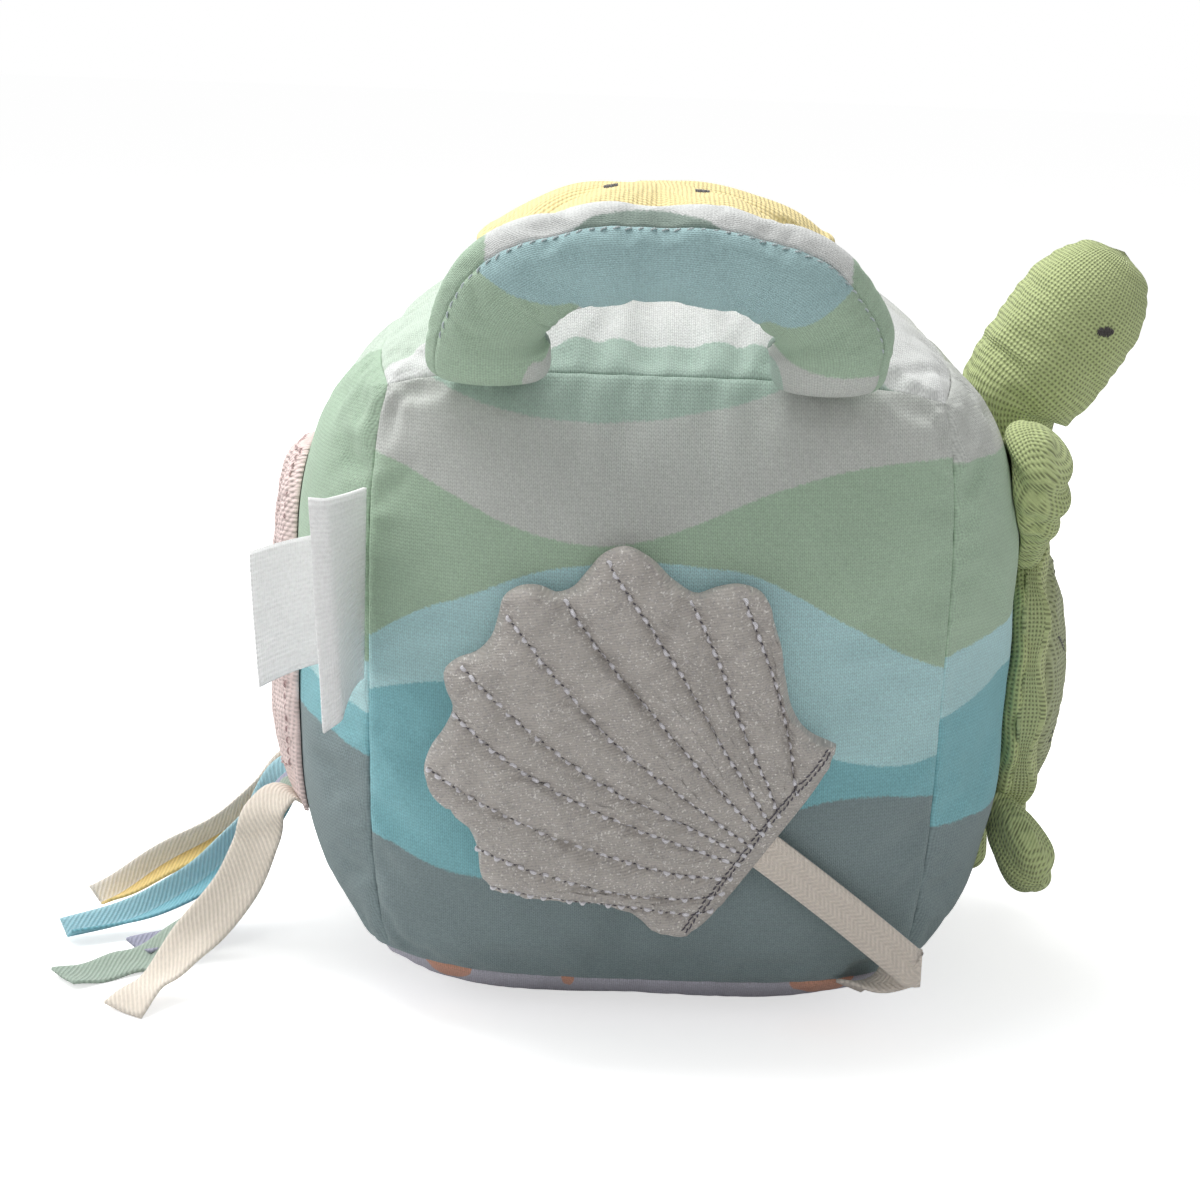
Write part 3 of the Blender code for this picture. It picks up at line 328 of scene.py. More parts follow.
def walked(points: np.ndarray, pitch: float) -> tuple[np.ndarray, np.ndarray]:
    """Places at even steps along a line, and the line's direction there."""
    legs = np.linalg.norm(np.diff(points, axis=0), axis=1)
    run = np.concatenate([[0.0], np.cumsum(legs)])
    count = max(2, round(run[-1] / pitch))
    at = (np.arange(count) + 0.5) * run[-1] / count
    places = np.stack([np.interp(at, run, points[:, k]) for k in range(3)], axis=1)
    ahead = np.stack([np.interp(at + pitch / 3, run, points[:, k]) for k in range(3)], axis=1)
    behind = np.stack([np.interp(at - pitch / 3, run, points[:, k]) for k in range(3)], axis=1)
    return places, unit(ahead - behind)


def threads(places: np.ndarray, along: np.ndarray, out: np.ndarray, length: float, radius: float,
            turn: float = 0.0, seed: int = 1) -> Surface:
    """Stitches of thread, each an arched capsule of a few dozen faces that dips in at both ends.

    Args:
        places: the middle of each stitch on the cloth.
        along: each stitch's direction.
        out: the cloth's normals.
        length: a stitch's length.
        radius: the thread's radius.
        turn: how far each stitch is turned off its line, in radians.
        seed: seed of the small unevenness.

    Returns:
        The surface: the ring at share s has its middle at height radius·(1.1 - 2.2·s²) and the
        radius radius·(1 - s⁴)^½.
    """
    rings, around = 6, 6
    share = np.linspace(-1, 1, rings)
    angle = np.linspace(0, 2 * math.pi, around + 1)
    swell = np.sqrt(np.maximum(0.0, 1 - share ** 4)) * radius
    swell[[0, -1]] = radius * 0.12
    template = np.zeros((rings, around + 1, 3))
    template[..., 0] = share[:, None] * length / 2
    template[..., 1] = swell[:, None] * np.cos(angle)
    template[..., 2] = swell[:, None] * np.sin(angle) + radius * (1.1 - 2.2 * share[:, None] ** 2)
    rng = np.random.default_rng(seed)
    spin = turn + rng.normal(0, 0.05, len(places))
    side = unit(np.cross(out, along))
    ahead = unit(np.cross(side, out))
    cos, sin = np.cos(spin)[:, None], np.sin(spin)[:, None]
    ahead, side = ahead * cos + side * sin, side * cos - ahead * sin
    size = 1 + rng.normal(0, 0.06, len(places))
    basis = np.stack([ahead * size[:, None], side, out], axis=1)
    points = np.einsum("rak,nkd->nrad", template, basis) + places[:, None, None, :]
    uv = np.stack(np.broadcast_arrays(
        (share[:, None] * length / 2), (angle * radius)[None, :]), axis=-1)
    uv = np.broadcast_to(uv, (len(places), rings, around + 1, 2))
    base = Surface.grid(points[0], uv[0])
    count = rings * (around + 1)
    quads = (base.quads[None] + np.arange(len(places))[:, None, None] * count).reshape(-1, 4)
    return Surface(points.reshape(-1, 3), quads, uv.reshape(-1, 2))


# Finishes

class Recipe:
    """One material being made; `add` is the only way in for a node."""

    def __init__(self, name: str, **settings: float | tuple) -> None:
        """Starts a Principled material with constant values on its own sockets."""
        self.material = bpy.data.materials.new(name)
        self.material.use_nodes = True
        self.tree = self.material.node_tree
        self.shader = self.tree.nodes["Principled BSDF"]
        for key, value in settings.items():
            socket = key.replace("_", " ").title().replace("Ior", "IOR")
            self.shader.inputs[socket].default_value = value

    def add(self, kind: str, *values: object, out: int | str = 0,
            sockets: dict[str, object] | None = None, **settings: object) -> bpy.types.NodeSocket:
        """Adds a node.

        Args:
            kind: the node's type without its prefix.
            values: for its inputs in order: a number, a colour, a socket to link or None to skip.
            out: the output that is given back.
            sockets: values for inputs by name.
            settings: the node's properties.

        Returns:
            The output socket.
        """
        node = self.tree.nodes.new("ShaderNode" + kind)
        for key, value in settings.items():
            setattr(node, key, value)
        named = [(node.inputs[key], value) for key, value in (sockets or {}).items()]
        for socket, value in [*zip(node.inputs, values), *named]:
            if isinstance(value, bpy.types.NodeSocket):
                self.tree.links.new(value, socket)
            elif value is not None:
                socket.default_value = value
        return node.outputs[out]

    def cloth_place(self, wobble: float, size: float) -> tuple:
        """U and V on the flat cloth in metres, pulled about by `wobble` in lumps of `size`."""
        uv = self.add("TexCoord", out="UV")
        noise = self.add("TexNoise", uv, None, 1 / size, 2.0, 0.5, out="Color")
        pull = self.add("VectorMath", noise, (0.5, 0.5, 0.5), operation="SUBTRACT")
        pull = self.add("VectorMath", pull, sockets={"Scale": wobble}, operation="SCALE")
        place = self.add("VectorMath", uv, pull, operation="ADD")
        return (self.add("SeparateXYZ", place, out="X"), self.add("SeparateXYZ", place, out="Y"))

    def ripple(self, place: bpy.types.NodeSocket, pitch: float) -> bpy.types.NodeSocket:
        """Sine of a place, with one wave for each `pitch`."""
        turn = self.add("Math", place, 2 * math.pi / pitch, operation="MULTIPLY")
        return self.add("Math", turn, operation="SINE")

    def speckle(self, scale: float, detail: float, low: float, high: float,
                rough: float = 0.5) -> bpy.types.NodeSocket:
        """Tones from low to high of a noise on the flat cloth, with `scale` lumps to the metre."""
        noise = self.add("TexNoise", self.add("TexCoord", out="UV"), None, scale, detail, rough)
        return self.add("MapRange", noise, 0.3, 0.7, low, high)

    def shade(self, colour: object, tone: bpy.types.NodeSocket) -> bpy.types.NodeSocket:
        """The colour times a tone."""
        tint = self.add("CombineColor", tone, tone, tone)
        return self.add("MixRGB", 1.0, colour, tint, blend_type="MULTIPLY")

    def finish(self, colour: object, height: bpy.types.NodeSocket, distance: float,
               strength: float) -> bpy.types.Material:
        """Links the colour and a bump of the given height and gives back the material."""
        if isinstance(colour, bpy.types.NodeSocket):
            self.tree.links.new(colour, self.shader.inputs["Base Color"])
        else:
            self.shader.inputs["Base Color"].default_value = colour
        bump = self.add("Bump", sockets={
            "Strength": strength, "Distance": distance, "Height": height})
        self.tree.links.new(bump, self.shader.inputs["Normal"])
        return self.material


@dataclass(frozen=True)
class Band:
    """One colour of the print: it lies where the cloth is past a boundary.

    The boundary runs through knots in millimetres. It gives a height over a place across the
    cloth, or a place across over a height where it is `turned`; `below` takes the other side.
    """

    colour: str
    knots: tuple
    turned: bool = False
    below: bool = False

    def mark(self, across: np.ndarray, up: np.ndarray) -> np.ndarray:
        """How far past its boundary the cloth is, in metres."""
        place, value = (up, across) if self.turned else (across, up)
        past = value - flow(self.knots, place)
        return -past if self.below else past


@dataclass(frozen=True)
class PrintedKnit:
    """Cotton jersey, knitted finely and printed with wavy bands.

    Its face shows columns of small V stitches 0.9 mm apart and the faint melange of the yarn; it
    is matt, with a little fuzz that catches the light at the edge.
    """

    name: str
    ground: str
    bands: tuple[Band, ...] = ()
    wale: float = 0.9 * MM
    course: float = 0.75 * MM
    ink: float = 0.5 * MM

    def marks(self, across: np.ndarray, up: np.ndarray) -> dict[str, np.ndarray]:
        """The marks that the bands of this cloth need."""
        return {f"band_{k}": band.mark(across, up) for k, band in enumerate(self.bands)}

    def make(self) -> bpy.types.Material:
        """The material; each band's edge is as soft as ink in yarn."""
        r = Recipe(self.name, roughness=0.92, specular_ior_level=0.25, sheen_weight=0.12,
                   sheen_roughness=0.6)
        u, v = r.cloth_place(0.5 * MM, 9 * MM)
        colour: object = linear(self.ground)
        ragged = r.speckle(1400.0, 2.0, -self.ink / 2, self.ink / 2)
        for k, band in enumerate(self.bands):
            past = r.add("Attribute", attribute_name=f"band_{k}", out="Fac")
            past = r.add("Math", past, ragged, operation="ADD")
            share = r.add("MapRange", past, -self.ink / 2, self.ink / 2, 0.0, 1.0)
            colour = r.add("MixRGB", share, colour, linear(band.colour))
        columns = r.add("Math", u, 1 / self.wale, operation="MULTIPLY")
        slant = r.add("Math", columns, 0.5, operation="PINGPONG")
        rows = r.add("Math", v, 1 / self.course, slant, operation="MULTIPLY_ADD")
        loops = r.ripple(rows, 1.0)
        legs = r.add("Math", r.ripple(columns, 1.0), operation="ABSOLUTE")
        relief = r.add("Math", loops, 0.35, legs, operation="MULTIPLY_ADD")
        weave = r.add("MapRange", relief, -0.3, 1.2, 0.8, 1.07)
        melange = r.add("TexNoise", r.add("CombineXYZ", u, r.add(
            "Math", v, 0.5, operation="MULTIPLY")), None, 2000.0, 3.0, 0.65)
        melange = r.add("MapRange", melange, 0.3, 0.7, 0.87, 1.1)
        patches = r.speckle(70.0, 2.0, 0.96, 1.03)
        tone = r.add("Math", r.add("Math", weave, melange, operation="MULTIPLY"), patches,
                     operation="MULTIPLY")
        return r.finish(r.shade(colour, tone), relief, 0.12 * MM, 0.7)


@dataclass(frozen=True)
class Gauze:
    """Cotton double gauze: an open plain weave with small shadowed holes and soft crinkles."""

    name: str
    colour: str
    thread: float = 1.05 * MM
    hole: float = 0.5
    crinkle: float = 0.5

    def make(self) -> bpy.types.Material:
        """The material: tone falls where the gaps of warp and weft cross."""
        r = Recipe(self.name, roughness=0.95, specular_ior_level=0.2, sheen_weight=0.15,
                   sheen_roughness=0.6)
        u, v = r.cloth_place(0.9 * MM, 7 * MM)
        warp, weft = (r.add("Math", r.ripple(place, 2 * self.thread), operation="ABSOLUTE")
                      for place in (u, v))
        solid = r.add("Math", warp, weft, operation="MAXIMUM")
        both = r.add("Math", warp, weft, operation="MULTIPLY")
        cover = r.add("MapRange", solid, 0.45, 0.92, self.hole, 1.05)
        grain = r.speckle(900.0, 3.0, 0.90, 1.08, 0.6)
        tone = r.add("Math", cover, grain, operation="MULTIPLY")
        crinkles = r.add("TexNoise", r.add("TexCoord", out="UV"), None, 260.0, 3.0, 0.55)
        relief = r.add("Math", crinkles, self.crinkle * 4, r.add(
            "Math", solid, both, operation="ADD"), operation="MULTIPLY_ADD")
        return r.finish(r.shade(linear(self.colour), tone), relief, 0.26 * MM, 0.85)


class Rib(Enum):
    """Which way the ribs of a tape run."""

    TWILL = "twill"
    HERRINGBONE = "herringbone"
    CROSS = "cross"


@dataclass(frozen=True)
class Tape:
    """Woven cotton tape: slanting ribs, in herringbone on the tether, with firm edges.

    Where it has a lining, the half past its middle shows that colour. Thin pale cloth lets some
    light through from behind, as a short scatter inside it.
    """

    name: str
    colour: str
    rib: Rib = Rib.TWILL
    pitch: float = 1.4 * MM
    contrast: float = 0.24
    roughness: float = 0.85
    lining: str = ""
    scatter: float = 0.3

    def make(self) -> bpy.types.Material:
        """The material: ribs are a sine of across plus along, mirrored for herringbone."""
        r = Recipe(self.name, roughness=self.roughness, specular_ior_level=0.3,
                   sheen_weight=0.1, sheen_roughness=0.5, subsurface_weight=self.scatter,
                   subsurface_radius=(2 * MM, 2 * MM, 2 * MM), subsurface_scale=1.0)
        u, v = r.cloth_place(0.25 * MM, 5 * MM)
        colour: object = linear(self.colour)
        if self.lining:
            half = r.add("MapRange", u, -0.2 * MM, 0.2 * MM, 0.0, 1.0)
            colour = r.add("MixRGB", half, colour, linear(self.lining))
        if self.rib is Rib.HERRINGBONE:
            u = r.add("Math", u, 2.1 * MM, operation="PINGPONG")
        slant = 0.0 if self.rib is Rib.CROSS else 1.0
        skew = r.add("Math", u, slant, v, operation="MULTIPLY_ADD")
        ribs = r.ripple(skew, self.pitch)
        fine = r.ripple(u, 0.5 * MM)
        relief = r.add("Math", fine, 0.3, ribs, operation="MULTIPLY_ADD")
        shade = r.add("MapRange", relief, -1.2, 1.2, 1 - self.contrast, 1.0)
        grain = r.speckle(1300.0, 2.0, 0.94, 1.05)
        tone = r.add("Math", shade, grain, operation="MULTIPLY")
        return r.finish(r.shade(colour, tone), relief, 0.15 * MM, 0.7)


@dataclass(frozen=True)
class GlitterSatin:
    """Polyester satin with metallic flecks: grey silver, softly shining, each fleck on its own. The
    light flecks are partly the glitter's own silver and partly painted glints.
    """

    name: str
    colour: str
    fleck: str
    dark: str

    def make(self) -> bpy.types.Material:
        """The material: cells 0.3 mm wide hold a few light or dark flecks over slanting ribs. The
        light flecks are bright in the base colour at every angle: partly the glitter's silver, partly
        painted glint.
        """
        r = Recipe(self.name, roughness=0.55, metallic=0.1, specular_ior_level=0.45,
                   sheen_weight=0.1)
        u, v = r.cloth_place(0.4 * MM, 6 * MM)
        chance = r.add("TexVoronoi", r.add("TexCoord", out="UV"), None, 3300.0, out="Color")
        pick = r.add("SeparateColor", chance, out="Red")
        # Light flecks, bright at every angle: partly the glitter's own silver, partly painted glints
        light_fleck_glint = r.add("MapRange", pick, 0.88, 0.94, 0.0, 0.7)
        deep = r.add("MapRange", r.add("SeparateColor", chance, out="Green"), 0.6, 0.95, 0.0, 0.4)
        colour = r.add("MixRGB", light_fleck_glint, linear(self.colour), linear(self.fleck))
        colour = r.add("MixRGB", deep, colour, linear(self.dark))
        skew = r.add("Math", u, v, operation="ADD")
        ribs = r.ripple(skew, 0.8 * MM)
        shade = r.add("MapRange", ribs, -1.0, 1.0, 0.9, 1.04)
        cloud = r.speckle(120.0, 2.0, 0.92, 1.06)
        shade = r.add("Math", shade, cloud, operation="MULTIPLY")
        relief = r.add("Math", ribs, 0.4, pick, operation="MULTIPLY_ADD")
        return r.finish(r.shade(colour, shade), relief, 0.12 * MM, 0.6)


@dataclass(frozen=True)
class Thread:
    """Embroidery thread: twisted polyester with a soft gloss and fine slanting plies."""

    name: str
    colour: str
    roughness: float = 0.45

    def make(self) -> bpy.types.Material:
        """The material: plies are a sine of length plus turn."""
        r = Recipe(self.name, roughness=self.roughness, specular_ior_level=0.5,
                   sheen_weight=0.2)
        u, v = r.cloth_place(0.0, 5 * MM)
        skew = r.add("Math", u, 0.8, v, operation="MULTIPLY_ADD")
        plies = r.ripple(skew, 0.5 * MM)
        tone = r.add("MapRange", plies, -1.0, 1.0, 0.8, 1.05)
        return r.finish(r.shade(linear(self.colour), tone), plies, 0.06 * MM, 0.6)


@dataclass(frozen=True)
class Wadding:
    """Polyester fibre fill: white, matted and very matt."""

    name: str
    colour: str = "#F1EFEA"

    def make(self) -> bpy.types.Material:
        """The material: stretched noise for matted fibre, on object coordinates."""
        r = Recipe(self.name, roughness=1.0, specular_ior_level=0.1, sheen_weight=0.2)
        place = r.add("Mapping", r.add("TexCoord", out="Object"), (0, 0, 0), (0.5, 0.7, 0.2),
                      (1.0, 5.0, 1.6))
        fibre = r.add("TexNoise", place, None, 380.0, 4.0, 0.7, sockets={"Distortion": 1.5})
        tone = r.add("MapRange", fibre, 0.3, 0.7, 0.86, 1.03)
        return r.finish(r.shade(linear(self.colour), tone), fibre, 0.8 * MM, 0.8)


@dataclass(frozen=True)
class MouldedPlastic:
    """Injection moulded polypropylene of the rattle: smooth, with a faint spark-eroded grain."""

    name: str
    colour: str
    roughness: float = 0.42

    def make(self) -> bpy.types.Material:
        """The material: fine noise as grain, on object coordinates."""
        r = Recipe(self.name, roughness=self.roughness, specular_ior_level=0.5)
        place = r.add("TexCoord", out="Object")
        grain = r.add("TexNoise", place, None, 2200.0, 2.0)
        tone = r.add("MapRange", grain, 0.3, 0.7, 0.97, 1.01)
        return r.finish(r.shade(linear(self.colour), tone), grain, 0.03 * MM, 0.4)


# Colours of the print, from the palest to the deepest. The grey-white is the same white print as
# WHITE, set greyer for the side panels and the handle: that grey is painted shade
WHITE, WHITE_WITH_PAINTED_SHADE, PALE_MINT, MINT = "#E6E8E6", "#CFD2CD", "#CCDCCC", "#B2CAB2"
LIGHT_BLUE, TEAL, SLATE, SAGE = "#BBE0E3", "#8AC2CA", "#88989A", "#B6CBBF"
DUSTY_BLUE, DEEP_SAGE = "#AECED0", "#9CADA3"
PALE_LILAC, CORAL = "#C2C0CC", "#DDA58E"


# The block

class Side(Enum):
    """Sides of the block: axis, sign along it, axis across and axis up the side."""

    FRONT = (1, -1, 0, 2)
    BACK = (1, 1, 0, 2)
    LEFT = (0, -1, 1, 2)
    RIGHT = (0, 1, 1, 2)
    TOP = (2, 1, 0, 1)
    BOTTOM = (2, -1, 0, 1)


FRONT_BANDS = (
    Band(TEAL, ((-66, 45), (-55, 42), (-46, 39), (-37, 38), (-12, 43), (10, 50), (28, 56),
                (38, 58.5), (49, 58.5), (66, 56))),
    Band(LIGHT_BLUE, ((-66, 75), (-51, 80), (-42, 81.5), (-12, 82), (12, 79), (31, 71),
                      (40, 67), (48, 65), (58, 65), (66, 67))),
    Band(MINT, ((-66, 86), (-51, 96), (-38, 102), (-26, 107), (-13, 109.3), (-3, 110),
                (8, 109.3), (19, 108), (29, 103.5), (40, 97), (52, 90), (66, 84))),
    Band(WHITE_WITH_PAINTED_SHADE, ((-66, 130), (-56, 127), (-45, 122), (-34, 117), (-23, 114), (-13, 113),
                      (-3, 114.5), (8, 118.5), (18, 123), (28, 126.5), (39, 129.5), (50, 131),
                      (66, 131.5))),
    Band(SAGE, ((-66, 150), (-51, 145), (-39, 140.5), (-25, 138), (-6, 138), (7, 140),
                (20, 143.5), (30, 148), (66, 156))),
)
BACK_BANDS = (
    Band(TEAL, ((-66, 52), (-30, 58), (5, 49), (38, 41), (66, 46))),
    Band(LIGHT_BLUE, ((-66, 70), (-34, 77), (4, 72), (34, 60), (66, 64))),
    Band(MINT, ((-66, 92), (-36, 99), (0, 93), (32, 84), (66, 90))),
    Band(WHITE_WITH_PAINTED_SHADE, ((-66, 124), (-30, 127), (6, 119), (36, 113), (66, 121))),
)
LEFT_BANDS = (
    Band(TEAL, ((-66, 60), (-45, 65), (-20, 67), (12, 60), (40, 54), (66, 58))),
    Band(LIGHT_BLUE, ((-66, 70), (-45, 73.5), (-20, 76), (12, 72), (40, 66), (66, 68))),
    Band(MINT, ((-66, 82), (-45, 84), (-20, 88), (12, 92), (40, 87), (66, 82))),
    Band(PALE_MINT, ((-66, 150), (-30, 146), (0, 134), (30, 128), (66, 132))),
)
RIGHT_BANDS = (
    Band(TEAL, ((-66, 49), (-36, 50), (0, 58), (34, 62), (66, 56))),
    Band(LIGHT_BLUE, ((-66, 73), (-40, 79), (-10, 83), (24, 78), (66, 72))),
    Band(MINT, ((-66, 87), (-40, 92), (-8, 97), (26, 93), (66, 86))),
    Band(WHITE_WITH_PAINTED_SHADE, ((-66, 130), (-30, 130), (4, 122), (34, 118), (66, 125))),
)
TOP_BANDS = (
    Band(PALE_MINT, ((-70, -42), (-56, -41), (-50, -46), (-20, -44), (20, -36), (70, -30)),
         turned=True, below=True),
    Band(WHITE, ((-66, -52), (-54, -52), (-44, -47), (-36, -40), (70, -36)), below=True),
    Band(SAGE, ((-66, -72), (-50, -68), (-34, -60), (-22, -56), (0, -55.4), (18, -56),
                (32, -59), (46, -60.5), (58, -62), (66, -68)), below=True),
    Band(PALE_MINT, ((-66, 44), (-20, 50), (20, 42), (66, 48))),
)
BOTTOM_BANDS = (
    Band(CORAL, ((-66, -72), (-54, -72), (-47, -57), (-40, -58), (-35, -72), (-21, -72),
                 (-17, -59), (-13, -72), (28, -72), (35, -58), (45, -56), (52, -72),
                 (66, -72)), below=True),
    Band(CORAL, ((-66, 12), (-30, 22), (4, 14), (30, 26), (66, 18))),
)


# Driving sizes of the block; its middle stands over a base that its weight presses flat
HALF_DEPTH, HALF_HEIGHT, BOTTOM_CROWN, FLAT_CUT = 63 * MM, 68.5 * MM, 11 * MM, 0.5 * MM
CENTRE_HEIGHT = HALF_HEIGHT + BOTTOM_CROWN - FLAT_CUT


@dataclass
class Block:
    """The stuffed cube of printed knit, its wadding and the skin on which the animals are sewn."""

    half_width: float = 63 * MM
    half_depth: float = HALF_DEPTH
    half_height: float = HALF_HEIGHT
    side_crown: float = 18 * MM
    front_crown: float = 16 * MM
    top_crown: float = 20 * MM
    bottom_crown: float = BOTTOM_CROWN
    corner_draw: float = 0.065
    taper: float = 0.02
    seam_depth: float = 1.1 * MM
    seam_roll: float = 2.2 * MM
    pucker: float = 0.55 * MM
    pucker_reach: float = 6.5 * MM
    wrinkle: float = 0.2 * MM
    lump: float = 0.4 * MM
    cloth: float = 1.2 * MM
    cells: int = 128
    loose_cells: int = 40
    wadding_depth: float = 2.6 * MM
    pocket: float = 17.6 * MM

    def __post_init__(self) -> None:
        """Works out the cloth's moved skin on every side."""
        self.centre = CENTRE_HEIGHT
        even = np.linspace(-1, 1, self.cells + 1)
        self.lines = 0.28 * even + 0.72 * np.sin(math.pi / 2 * even)
        self.loose = self.slack()
        self.skins = {side: self.dressed(side) for side in Side}

    def crown(self, side: Side) -> tuple[float, float]:
        """Crown height of a side and the power that flattens its middle."""
        if side in (Side.LEFT, Side.RIGHT):
            return self.side_crown, 4.0
        if side is Side.TOP:
            return self.top_crown, 3.0
        if side is Side.BOTTOM:
            return self.bottom_crown, 5.0
        return self.front_crown, 3.0

    def skin(self, side: Side, a: np.ndarray, b: np.ndarray, depth: float | np.ndarray = 0.0
             ) -> np.ndarray:
        """Plain skin of the block.

        A point (a, b) of a cube from -1 to 1 is drawn in towards the corners by
        1 - 0.065·|ab|⁴ and bowed out by crown·(1 - |a|ᵖ)(1 - |b|ᵖ).

        Args:
            side: the side.
            a: place across, from -1 to 1.
            b: place up, from -1 to 1.
            depth: how far the skin lies inside.

        Returns:
            The points, with a last axis of three.
        """
        axis, sign, across, up = side.value
        a, b = np.broadcast_arrays(np.asarray(a, float), np.asarray(b, float))
        cube = np.zeros(a.shape + (3,))
        cube[..., axis], cube[..., across], cube[..., up] = sign, a, b
        halves = (self.half_width, self.half_depth, self.half_height)
        point = np.empty_like(cube)
        for k in range(3):
            m, n = [i for i in range(3) if i != k]
            draw = np.abs(cube[..., m] * cube[..., n]) ** 4
            point[..., k] = cube[..., k] * (halves[k] - depth) * (1 - self.corner_draw * draw)
        point[..., 0] *= 1 + self.taper * cube[..., 2]
        crown, power = self.crown(side)
        swell = (1 - np.abs(a) ** power) * (1 - np.abs(b) ** power)
        point[..., axis] += sign * crown * swell
        point[..., 2] += self.centre
        return point

    def slack(self) -> dict[Side, np.ndarray]:
        """How the stuffed cloth moves off the plain skin: one closed cube, blown up."""
        even = np.linspace(-1, 1, self.loose_cells + 1)
        a, b = np.meshgrid(even, even)
        parts, pins = [], []
        for side in Side:
            uv = np.stack([a, b], axis=-1)
            parts.append(Surface.grid(self.skin(side, a, b), uv))
            edge = np.maximum(np.abs(a), np.abs(b)) > 0.999
            pins.append((edge | (side is Side.BOTTOM)).reshape(-1))
        whole = Surface.joined(parts)
        moved = blown(whole, np.concatenate(pins), growth=0.035, cap=1.6 * MM, pressure=3.0)
        step = (moved - whole.points).reshape(len(parts), *a.shape, 3)
        return dict(zip(Side, step))

    def resampled(self, grid: np.ndarray) -> np.ndarray:
        """A coarse grid read on the fine lines: cubic pieces through the coarse values."""
        count = len(grid)
        place = (self.lines + 1) / 2 * (count - 1)
        i = np.clip(place.astype(int), 0, count - 2)
        t = place - i
        weights = np.zeros((len(place), count))
        rows = np.arange(len(place))
        for shift, w in ((-1, -t * (1 - t) ** 2 / 2), (0, 1 - 2.5 * t ** 2 + 1.5 * t ** 3),
                         (1, t / 2 + 2 * t ** 2 - 1.5 * t ** 3), (2, -t * t * (1 - t) / 2)):
            np.add.at(weights, (rows, np.clip(i + shift, 0, count - 1)), w)
        return np.einsum("ri,ijk,cj->rck", weights, grid, weights)

    def dressed(self, side: Side) -> np.ndarray:
        """Fine skin of one side: slack, lumps, puckers at the seams and the seams' groove.

        Near a seam the cloth rolls in on a quarter circle, and it is gathered in small pleats
        that die away as exp(-distance / reach). From each corner a few folds run inwards.
        """
        axis, sign, _, up = side.value
        a, b = np.meshgrid(self.lines, self.lines)
        half_a = (self.half_width, self.half_depth)[1 if axis == 0 else 0]
        half_b = self.half_height if up == 2 else self.half_depth
        sa, sb = (1 - np.abs(a)) * half_a, (1 - np.abs(b)) * half_b
        points = self.skin(side, a, b) + self.resampled(self.loose[side])
        normal = normals_of(points, np.array([0, 0, self.centre]))
        near = np.minimum(sa, sb)
        roll = np.clip(1 - near / self.seam_roll, 0, 1)
        shift = -self.seam_depth * (1 - np.sqrt(1 - roll ** 2))
        seed = 1.3 * (axis + 1) + 0.7 * sign
        fade = 1 - np.exp(-near / (0.9 * MM))
        for distance, along, which in ((sa, b * half_b, np.sign(a)), (sb, a * half_a, np.sign(b))):
            pleat = 0.6 * wander(along, 6.5 * MM, seed + which)
            pleat = pleat + 0.4 * wander(along, 15 * MM, 2 * seed + which)
            depth = np.exp(-distance / self.pucker_reach) * np.maximum(0.3, pleat + 0.4)
            shift = shift - self.pucker * depth * fade
        reach = np.hypot(sa, sb)
        turn = np.arctan2(sb, sa)
        folds = np.cos(9 * turn + seed * np.sign(a) + 2 * np.sign(b))
        shift = shift + self.wrinkle * folds * fade * np.exp(-((reach - 9 * MM) / (9 * MM)) ** 2)
        shift = shift + self.lump * lumps(points, 46 * MM, seed) * np.clip(near / (12 * MM), 0, 1)
        points = points + normal * shift[..., None]
        points[..., 2] = np.maximum(points[..., 2], 0.0)
        return points

    def on(self, side: Side, across: np.ndarray, up: np.ndarray) -> np.ndarray:
        """Points of the dressed skin over places across and up the side, in metres."""
        _, _, i, j = side.value
        lift = self.centre if j == 2 else 0.0
        half_a = self.half_width if i == 0 else self.half_depth
        half_b = self.half_height if j == 2 else self.half_depth
        a, b = across / half_a, (up - lift) / half_b
        for _ in range(8):
            guess = self.skin(side, np.clip(a, -1, 1), np.clip(b, -1, 1))
            a = np.clip(a + (across - guess[..., i]) / half_a, -1, 1)
            b = np.clip(b + (up - guess[..., j]) / half_b, -1, 1)
        grid = self.skins[side]
        steps = np.arange(len(self.lines))
        c, r = np.interp(a, self.lines, steps), np.interp(b, self.lines, steps)
        c0, r0 = (np.minimum(v.astype(int), len(steps) - 2) for v in (c, r))
        tc, tr = (c - c0)[..., None], (r - r0)[..., None]
        low = grid[r0, c0] * (1 - tc) + grid[r0, c0 + 1] * tc
        high = grid[r0 + 1, c0] * (1 - tc) + grid[r0 + 1, c0 + 1] * tc
        point = low * (1 - tr) + high * tr
        point[..., i], point[..., j] = across, up
        return point

    def build_panels(self) -> None:
        """The six panels, each its own piece of printed knit."""
        prints = {
            Side.FRONT: ("panel_front", PrintedKnit("front_jersey", SLATE, FRONT_BANDS)),
            Side.BACK: ("panel_back", PrintedKnit("back_jersey", SLATE, BACK_BANDS)),
            Side.LEFT: ("panel_left", PrintedKnit("left_jersey", SLATE, LEFT_BANDS)),
            Side.RIGHT: ("panel_right", PrintedKnit("right_jersey", SLATE, RIGHT_BANDS)),
            Side.TOP: ("panel_top", PrintedKnit("top_jersey", WHITE, TOP_BANDS)),
            Side.BOTTOM: ("panel_bottom", PrintedKnit("bottom_jersey", PALE_LILAC, BOTTOM_BANDS)),
        }
        for side, (node, knit) in prints.items():
            points = self.skins[side]
            _, _, i, j = side.value
            across, up = points[..., i], points[..., j]
            uv = np.stack([across, up], axis=-1)
            surface = Surface.grid(points, uv, marks=knit.marks(across, up))
            obj = piece(
                f"{side.name.lower()}_knit", surface, knit.make(), "block",
                (node,), thickness=self.cloth, weld=False,
            )
            self.face_out(obj)

    def face_out(self, obj: bpy.types.Object) -> None:
        """Turns a panel's faces away from the block's middle."""
        mesh = obj.data
        normal = np.array([p.normal for p in list(mesh.polygons)[:: self.cells]])
        centre = np.array([p.center for p in list(mesh.polygons)[:: self.cells]])
        if ((centre - [0, 0, self.centre]) * normal).sum() < 0:
            mesh.flip_normals()

